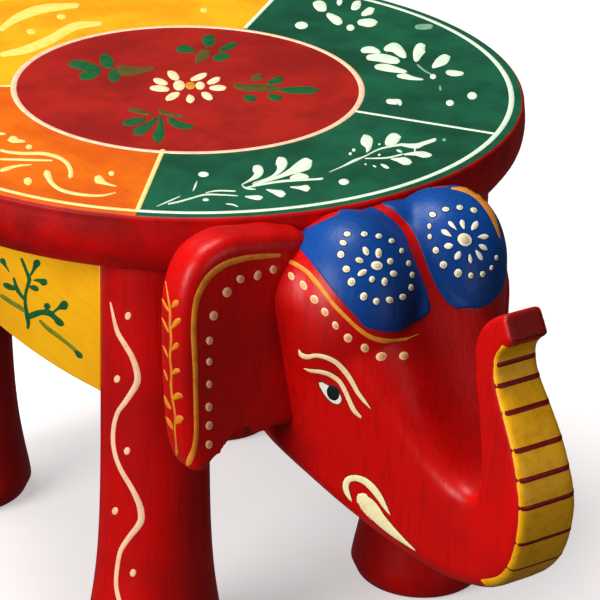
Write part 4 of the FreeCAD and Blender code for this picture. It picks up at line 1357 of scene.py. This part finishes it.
# The far dome's petals, drawn from the tip inward
FAR_DOME_STROKES = (
    ((448.4, 222, 3.6), (451.4, 225, 5), (456.4, 230.4, 0.9)),
    ((461.2, 220.2, 4.6), (462.1, 224.5, 5.7), (463.8, 229.6, 2.1)),
    ((477.1, 221.8, 4.6), (474.3, 226.2, 7.3), (471.2, 230.7, 2.9)),
    ((476.6, 237.5, 0.5), (482.7, 237, 6.2), (488, 237, 4.6)),
    ((477.9, 245.2, 1.1), (482.3, 247.1, 6.2), (486.6, 250.2, 2.5)),
    ((475, 250, 1.4), (478.6, 255.2, 5.5), (481.6, 260.4, 4.3)),
    ((469.1, 253.9, 1.1), (469.8, 258.9, 4.8), (470.4, 263.4, 3)),
    ((459.8, 251.4, 3.6), (457.7, 255.7, 7.3), (454.8, 259.6, 3.2)),
    ((443.9, 246.4, 3.6), (448.4, 246.2, 7.3), (452.9, 245.5, 3.9)),
    ((441.2, 230.5, 3.2), (445.7, 232.9, 6.2), (451.6, 237.1, 1.1)),
)

# The far dome's flower heart and its ring of dots
FAR_DOME_DOTS = (
    (464.3, 240, 8.4, 7.1, -30), (432.7, 215.2, 3.9, 3, -10), (445.7, 210, 4.1, 2.7, 0),
    (459.5, 208.2, 3.8, 2.9, -10), (473.4, 210.9, 4.1, 3, -25), (495.5, 257.7, 2.1, 3.2, 0),
    (490.7, 267.7, 2.1, 3.2, -10), (482, 274.1, 3.2, 3.6, 0), (470.4, 275.5, 3.2, 3.6, 0),
    (457.9, 273, 4.3, 5, -20), (443.4, 264.8, 4.3, 4.3, 0), (435.9, 250.5, 3.6, 3.9, 0),
    (430, 237, 2.5, 3, 0), (429.6, 226.6, 2.3, 3.2, 0),
)

# The green plant on the right apron
PLANT_STROKES = {
    "olive": (
        ((0, 294.5, 3), (9.9, 301.4, 3.6), (19.8, 307.3, 3.6), (25.2, 311.5, 3)),
        ((39.1, 319.7, 1.8), (47.5, 328.1, 3.4), (59.3, 337, 3.4), (69.2, 344.9, 3), (76.7, 351.3, 3.6)),
    ),
    "green": (
        (
            (27.7, 329.3, 2.2), (28.3, 323.1, 3), (27.3, 316.2, 3.8), (25.9, 308.3, 3), (25.2, 300.4, 2.8),
            (25.9, 292.5, 2.6), (28.2, 284.6, 3), (29.2, 278.6, 3.4), (26.2, 270.7, 2.6),
            (23.2, 262.8, 2.4), (21, 257.7, 2),
        ),
        ((30.2, 276.2, 1.6), (34.1, 268.7, 3), (36.8, 263.3, 6.1), (38.4, 259.6, 5.9)),
        ((33.1, 280.1, 1.2), (39.6, 280.6, 3.4), (44.5, 282.6, 6.1), (47.3, 284.2, 3.8)),
        ((29.2, 286.3, 2), (34.6, 288, 4.5), (38.6, 290.7, 3.2)),
        ((25.2, 300.4, 2.4), (19.8, 293.5, 3), (16.8, 288.5, 3.4), (14.8, 281.6, 2.4), (13.6, 277.1, 1.8)),
        ((17, 288.7, 2.6), (10.9, 287.5, 4.5), (5.9, 285.1, 4.2), (3.2, 283.4, 2)),
        ((9.7, 272.2, 0.8), (5.9, 266.3, 2), (2.5, 260.8, 4.5), (0.4, 258.6, 3)),
        (
            (26.9, 318, 4), (33.6, 314.7, 5.1), (41.5, 312.3, 4.5), (49.5, 313.2, 5.1), (54.4, 317.2, 4.2),
            (59.3, 322.2, 5.5), (63.8, 325.5, 3.4),
        ),
        ((52.2, 313.4, 2), (58.4, 308.3, 2.8), (64.3, 305.3, 8.1), (68.4, 304.3, 7.5)),
        ((46.3, 309.8, 4), (47.5, 305.5, 5.7), (48.7, 303.2, 4.2)),
        ((74.4, 349.8, 2.6), (79.1, 354.8, 4.5), (82.6, 358, 2.8)),
    ),
}

# The wavy line on the front right leg
WAVE_STROKES = {
    "pinkish": (
        (
            (110.5, 302, 1.2), (112, 310, 2.6), (117, 331, 4.8), (125, 345, 5.6), (132, 357, 6),
            (137, 372, 7), (136.5, 384, 7.2), (126, 401, 6), (118, 412, 5), (114, 425, 4.8),
            (113, 442, 4.8), (116, 458, 4.8), (122, 472, 5.2), (131, 487, 5.6), (138, 501, 6.6),
            (141, 512, 7.4), (140, 523, 7.4), (128, 539, 6), (121, 550, 5.2), (118, 562, 4.8),
            (116, 583, 4.6), (119, 600, 4.8), (124, 613, 4.6), (127, 625, 2),
        ),
    ),
}

# Dots beside the wavy line
WAVE_DOTS = {
    "pinkish": (
        (128, 316, 3.2, 4.2, -15), (117, 379, 3.2, 4.2, -15), (127, 451, 3.2, 4.2, -15),
        (115, 511, 3.2, 4.2, -15), (133, 573, 3.2, 4.2, -15),
    ),
}

# Pale scrolls on the yellow sector
YELLOW_STROKES = {
    "pale_yellow": (
        ((0, 30, 5), (16.6, 18.2, 9), (41.5, 9.1, 10), (79.6, 5, 5)),
        ((0, 54.7, 5), (24.9, 49.8, 9), (49.8, 39.8, 10), (74.6, 26.5, 9), (102.8, 23.2, 4)),
    ),
}
YELLOW_DOTS = {
    "pale_yellow": ((61.4, 16.6, 5, 3, 0), (31.5, 31.5, 5, 3, 0), (204, 10, 4, 2.4, 0)),
}

# The blue coat of the near dome and of the far one
NEAR_DOME_OUTLINE = (
    (287, 238.2), (301, 230.5), (317.8, 223), (341, 213.5), (365.7, 205.5), (381.6, 211.9), (394.4, 221.5),
    (403.9, 232.6), (410.3, 248.6), (419.9, 272.5), (427, 291.6), (430.4, 307), (427.5, 314.5),
    (418.3, 320.3), (405.5, 325.9), (391.2, 329.6), (378.4, 329.1), (365.7, 323.5), (354.5, 315.5),
    (333.8, 291.6), (317.8, 270.9), (301.9, 251.8),
)
FAR_DOME_OUTLINE = (
    (380, 202.3), (394.4, 194.3), (413.5, 188.8), (437.4, 187.2), (453.4, 188), (472.5, 194.3),
    (485.2, 203.9), (493.2, 218.3), (499.6, 234.2), (504.4, 251.7), (505.7, 269.3), (502.8, 288.4),
    (493.2, 301.2), (482, 307.6), (466.1, 308.4), (450.2, 305.2), (439, 291.6), (431, 275.7), (423, 255),
    (413.5, 232.6), (402.3, 218.3), (391.2, 208.7),
)
# The gold edge where it shows over the far dome
FAR_GOLD_EDGE = (
    (451, 189, 1.5), (462, 190, 5), (471.5, 193.5, 6), (480, 200, 6.5), (487, 208.5, 6.5),
    (492.3, 218, 5.5), (496, 227.5, 4), (499.5, 239, 1),
)

# The dark end of the trunk's lip
LIP_OUTLINE = (
    (505, 315.5), (522, 310.5), (538.5, 306.5), (545, 320), (550.3, 333.5), (530, 338), (511, 343),
    (508, 329),
)
# The trunk's stripes: height above the floor, and thickness
TRUNK_STRIPES = (
    (195.3 * MM, 2.5 * MM), (187.8 * MM, 2.5 * MM), (177.1 * MM, 2.6 * MM), (164.3 * MM, 2.5 * MM),
    (153.9 * MM, 2.5 * MM), (141.9 * MM, 2.4 * MM), (126.9 * MM, 2.0 * MM), (113.5 * MM, 1.2 * MM),
)


def onto(tree, move):
    """A copy that is moved and then laid on the surface of a piece."""
    def copy(point, normal):
        point, normal = move(point, normal)
        spot, facing = tree.find_nearest(point)[:2]
        return spot, facing if facing.dot(normal) > 0 else -facing
    return copy


RING_STEP_DEGREES = 5


def ring_points(radius, shift, width, start=0.0, end=360.0):
    """Points of a circle or an arc on the seat, for a mark of even width."""
    count = int(abs(end - start) / RING_STEP_DEGREES)
    closed = end - start >= 360
    points = arc(shift, radius, start, end, count)
    return [(x, y, width) for x, y in (points[:-1] if closed else points)]


# The painted lines on the seat: their step between points, widths, coats and angles
LINE_STEP = 1.6 * MM
BORDER_WIDTH = 2.7 * MM
MEDALLION_LINE_WIDTH = 2.7 * MM
MEDALLION_LINE_COATS = 0.3
SECTOR_LINE_WIDTH = 2.3 * MM
SECTOR_LINE_COATS = -0.15
BORDER_LINES = (("mint", GREEN_ORANGE, YELLOW_GREEN), ("butter", YELLOW_GREEN, GREEN_ORANGE + 360))
SECTOR_LINES = (
    ("mint", GREEN_GREEN), ("mint", YELLOW_GREEN), ("butter", GREEN_ORANGE), ("butter", ORANGE_YELLOW),
)


def about_orange(point, normal):
    """A copy to the other half of the orange sector."""
    middle = math.radians((ORANGE_YELLOW + GREEN_ORANGE + 360) / 2)
    x, y = point.x - SEAT_CENTRE.x, point.y - SEAT_CENTRE.y
    radius, angle = math.hypot(x, y), 2 * middle - math.atan2(y, x)
    x, y = SEAT_CENTRE.x + radius * math.cos(angle), SEAT_CENTRE.y + radius * math.sin(angle)
    return Vector((x, y, point.z)), normal


def paint_seat():
    name = "paint_seat"
    top = plane_canvas(2, SEAT_CENTRE.z, (0, 0, 1))
    for colour, start, end in BORDER_LINES:
        points = ring_points(BORDER_RADIUS, (0, 0), BORDER_WIDTH, start, end)
        lay(name, colour, stroke(seat_plan, points, LINE_STEP, blunt=True))
    points = ring_points(MEDALLION_RADIUS, MEDALLION_SHIFT, MEDALLION_LINE_WIDTH)
    lay(name, "pinkish", stroke(seat_plan, points, LINE_STEP, closed=True, coats=MEDALLION_LINE_COATS))
    radii = (MEDALLION_RADIUS, (MEDALLION_RADIUS + BORDER_RADIUS) / 2, BORDER_RADIUS)
    for colour, angle in SECTOR_LINES:
        c, s = math.cos(math.radians(angle)), math.sin(math.radians(angle))
        points = [(r * c, r * s, SECTOR_LINE_WIDTH) for r in radii]
        lay(name, colour, stroke(seat_plan, points, LINE_STEP, blunt=True, coats=SECTOR_LINE_COATS))
    draw(name, top, MEDALLION_STROKES, MEDALLION_DOTS)
    draw(name, top, ORANGE_STROKES, ORANGE_DOTS, (same, about_orange))
    draw(name, top, GREEN_STROKES, GREEN_DOTS)
    draw(name, top, YELLOW_STROKES, YELLOW_DOTS)


# Across the trunk's band: shares of its half width, and how many coats thick the paint is there
BAND_LIFT = 0.6
BAND_HALF_SHARES = (0.4, 0.7, 0.82, 0.87, 0.91, 0.95, 0.985, 1)
BAND_SECTION_SHARES = tuple(
    (share, RIM_LIFT if abs(share) == 1 else BAND_LIFT)
    for share in (*(-s for s in BAND_HALF_SHARES[::-1]), 0, *BAND_HALF_SHARES)
)
# Where along the head's reach the band starts, and its share of the trunk's width
BAND_START_SHARE = 0.86
BAND_WIDTH_SHARE = 0.97
BAND_STEP = 1.2 * MM
# The band follows every fifth section of the trunk, without the last two
BAND_EACH = 5
BAND_LESS = 2
STRIPE_COATS = 0.5
# The trunk's surface is looked for from this far before it, over that depth
TRUNK_CLEARANCE = 12 * MM
TRUNK_DEPTH = 30 * MM


def trunk_front():
    """The trunk's outer line from its bend to its lip: distance along, point, way out and half width."""
    rows = []
    run = 0
    for upper, lower, _, foot, _ in head_sections():
        if not rows and lower.y > HEAD_BACK - HEAD_REACH * BAND_START_SHARE:
            continue
        if rows:
            run += (lower - rows[-1][1]).length
        rows.append((run, lower, (lower - upper).normalized(), foot))
    return rows


def paint_trunk(tree):
    rows = trunk_front()
    runs = [row[0] for row in rows]

    def canvas(across, along):
        k = min(max(int(np.searchsorted(runs, along)), 1), len(rows) - 1)
        share = (along - runs[k - 1]) / (runs[k] - runs[k - 1])
        middle = rows[k - 1][1].lerp(rows[k][1], share)
        out = rows[k - 1][2].lerp(rows[k][2], share).normalized()
        start = middle + out * TRUNK_CLEARANCE + Vector((across, 0, 0))
        point, normal = tree.ray_cast(start, -out, TRUNK_DEPTH)[:2]
        return (point, normal) if point else None

    band = [(0, row[0], 2 * row[3] * BAND_WIDTH_SHARE) for row in rows[:-BAND_LESS:BAND_EACH]]
    lay("paint_head", "band", stroke(canvas, band, BAND_STEP, BAND_SECTION_SHARES, blunt=True))
    for height, thick in TRUNK_STRIPES:
        k = next(k for k, row in enumerate(rows) if row[1].z > height)
        half = rows[k][3] * BAND_WIDTH_SHARE
        points = [(across, runs[k], thick) for across in (-half, 0, half)]
        lay("paint_head", "stripe", stroke(canvas, points, BAND_STEP, coats=STRIPE_COATS, blunt=True))


def paint_head():
    name = "paint_head"
    tree = tree_of(head)
    front = pixel_canvas(tree)
    other = onto(tree, mirrored)
    both = (same, other)
    for outline in (NEAR_DOME_OUTLINE, FAR_DOME_OUTLINE):
        coat = area(front, outline, lift=BLUE_LIFT)
        lay(name, "blue", coat)
        lay(name, "blue", off_middle(coat), (other,))
    pearls = {"pearl": NEAR_DOME_DOTS + FAR_DOME_DOTS}
    draw(name, front, {"pearl": FAR_DOME_STROKES}, pearls, coats=PEARL_COATS, edge="navy")
    draw(name, front, {"gold": (GOLD_EDGE,)}, {"bead": FACE_DOTS})
    far_edge = {"gold": (GOLD_EDGE[:FAR_EDGE_POINTS],)}
    draw(name, front, far_edge, {"bead": FACE_DOTS[:FAR_EDGE_DOTS]}, (onto(tree, mirrored_back),))
    draw(name, front, {"shell": BROWS, "ivory": TUSK}, copies=both, coats=FACE_COATS, edge="stripe")
    draw(name, front, {"gold": (FAR_GOLD_EDGE,)}, coats=BLUE_LIFT)
    lay(name, "white", area(front, EYE_OUTLINE, EYE_STEP), both)
    draw(name, front, dots={"black": (EYE_IRIS,)}, copies=both, coats=IRIS_COATS)
    lid = [(x, y, LID_WIDTH) for x, y in EYE_OUTLINE]
    lay(name, "black", stroke(front, lid, LID_STEP, closed=True), both)
    lay(name, "stripe", area(front, LIP_OUTLINE, smooth=False))
    paint_trunk(tree)


def paint_ears():
    right = pixel_canvas(tree_of(ears["right"]))

    def to_left(point, normal):
        across = (-point.x - HEAD_HALF) * SWEPT_WIDTH / EAR_WIDTH
        point = swung(Vector((HEAD_HALF + across, point.y, point.z)))
        return point, Matrix.Rotation(SWEEP, 3, "Z") @ Vector((-normal.x, normal.y, normal.z))

    copies = (same, onto(tree_of(ears["left"]), to_left))
    draw("paint_ears", right, EAR_STROKES, EAR_DOTS, copies)


def paint_legs():
    trees = {key: tree_of(leg) for key, leg in legs.items()}
    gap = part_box("leg_rear_right")[0].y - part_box("leg_front_right")[0].y
    copies = []
    for (end, side), tree in trees.items():
        def move(point, normal, back=end == "rear", left=side == "left"):
            point = point + Vector((0, gap if back else 0, 0))
            return mirrored(point, normal) if left else (point, normal)
        copies.append(onto(tree, move))
    draw("paint_legs", pixel_canvas(trees["front", "right"]), WAVE_STROKES, WAVE_DOTS, copies)


# The plant's middle along the right apron, from the seat's axis, and how much wider its strokes are painted
PLANT_MIDDLE = -20 * MM
PLANT_BOLDNESS = 1.4


def paint_aprons():
    right_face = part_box("apron_right")[0].x
    rear_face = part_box("apron_rear")[1].y

    def to_rear(point, normal):
        along = point.y - SEAT_CENTRE.y - PLANT_MIDDLE
        return Vector((along, rear_face, point.z)), Vector((0, 1, 0))

    bold = {
        colour: [[(x, y, width * PLANT_BOLDNESS) for x, y, width in points] for points in lines]
        for colour, lines in PLANT_STROKES.items()
    }
    canvas = plane_canvas(0, right_face, (-1, 0, 0))
    draw("paint_aprons", canvas, bold, copies=(same, mirrored, to_rear))


def dress_nodes():
    """The small CAD pieces that show as they are."""
    for node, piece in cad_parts.items():
        kind = "red" if node == "tail" else "steel" if "screw" in node else "wood"
        piece.data.materials.clear()
        piece.data.materials.append(MATERIALS[kind])


make_camera()
make_seat()
legs = {(end, side): make_leg(end, side) for end in ("front", "rear") for side in ("right", "left")}
for side in ("right", "left", "front", "rear"):
    make_apron(side)
head = settle(make_head(), "red_enamel", "head")
ears = {side: make_ear(side) for side in ("right", "left")}
dress_nodes()


# Floor and light

# The floor's two close tones, its own glow, and the room's even light
FLOOR_TONES = ((0.72, 0.68, 0.67), (0.7, 0.655, 0.645))
FLOOR_HALF = 6
GLOW_COLOUR = (1, 0.99, 0.985)
GLOW = 0.46
ROOM_LIGHT = 0.07
# Lamps: name, place, width and power
LAMPS = (
    ("key", (-1.7, -0.2, 0.85), 1.2, 37),
    ("top", (-0.3, 0.5, 2.2), 1.2, 46),
    ("front", (0.5, -2.0, 0.5), 0.9, 5),
)


def make_floor():
    n = Nodes("pale floor")
    n.set("Base Color", n.mix(n.noise(n.place(), 3, 2), *FLOOR_TONES))
    n.set("Roughness", 0.6)
    n.set("Specular IOR Level", 0.1)
    n.set("Emission Color", GLOW_COLOUR)
    n.set("Emission Strength", GLOW)
    corners = [(FLOOR_HALF * x, FLOOR_HALF * y, 0) for x, y in ((-1, -1), (1, -1), (1, 1), (-1, 1))]
    floor = make_mesh("floor", corners, [(0, 1, 2, 3)], n.material)
    # The floor shows white without filling the stool's shaded side
    floor.visible_diffuse = False
    floor.visible_glossy = False


def make_lights():
    world = bpy.data.worlds.new("studio")
    world.use_nodes = True
    room = world.node_tree.nodes["Background"]
    room.inputs[0].default_value = (1, 1, 1, 1)
    room.inputs[1].default_value = ROOM_LIGHT
    bpy.context.scene.world = world
    for name, place, size, power in LAMPS:
        light = bpy.data.lights.new(name, "AREA")
        light.shape = "DISK"
        light.size = size
        light.energy = power
        lamp = bpy.data.objects.new(name, light)
        lamp.location = place
        lamp.rotation_mode = "QUATERNION"
        lamp.rotation_quaternion = (SEAT_CENTRE - Vector(place)).to_track_quat("-Z", "Y")
        bpy.context.scene.collection.objects.link(lamp)
    bpy.context.scene.view_settings.view_transform = "Standard"


paint_seat()
paint_head()
paint_ears()
paint_legs()
paint_aprons()
hang_marks()
make_floor()
make_lights()
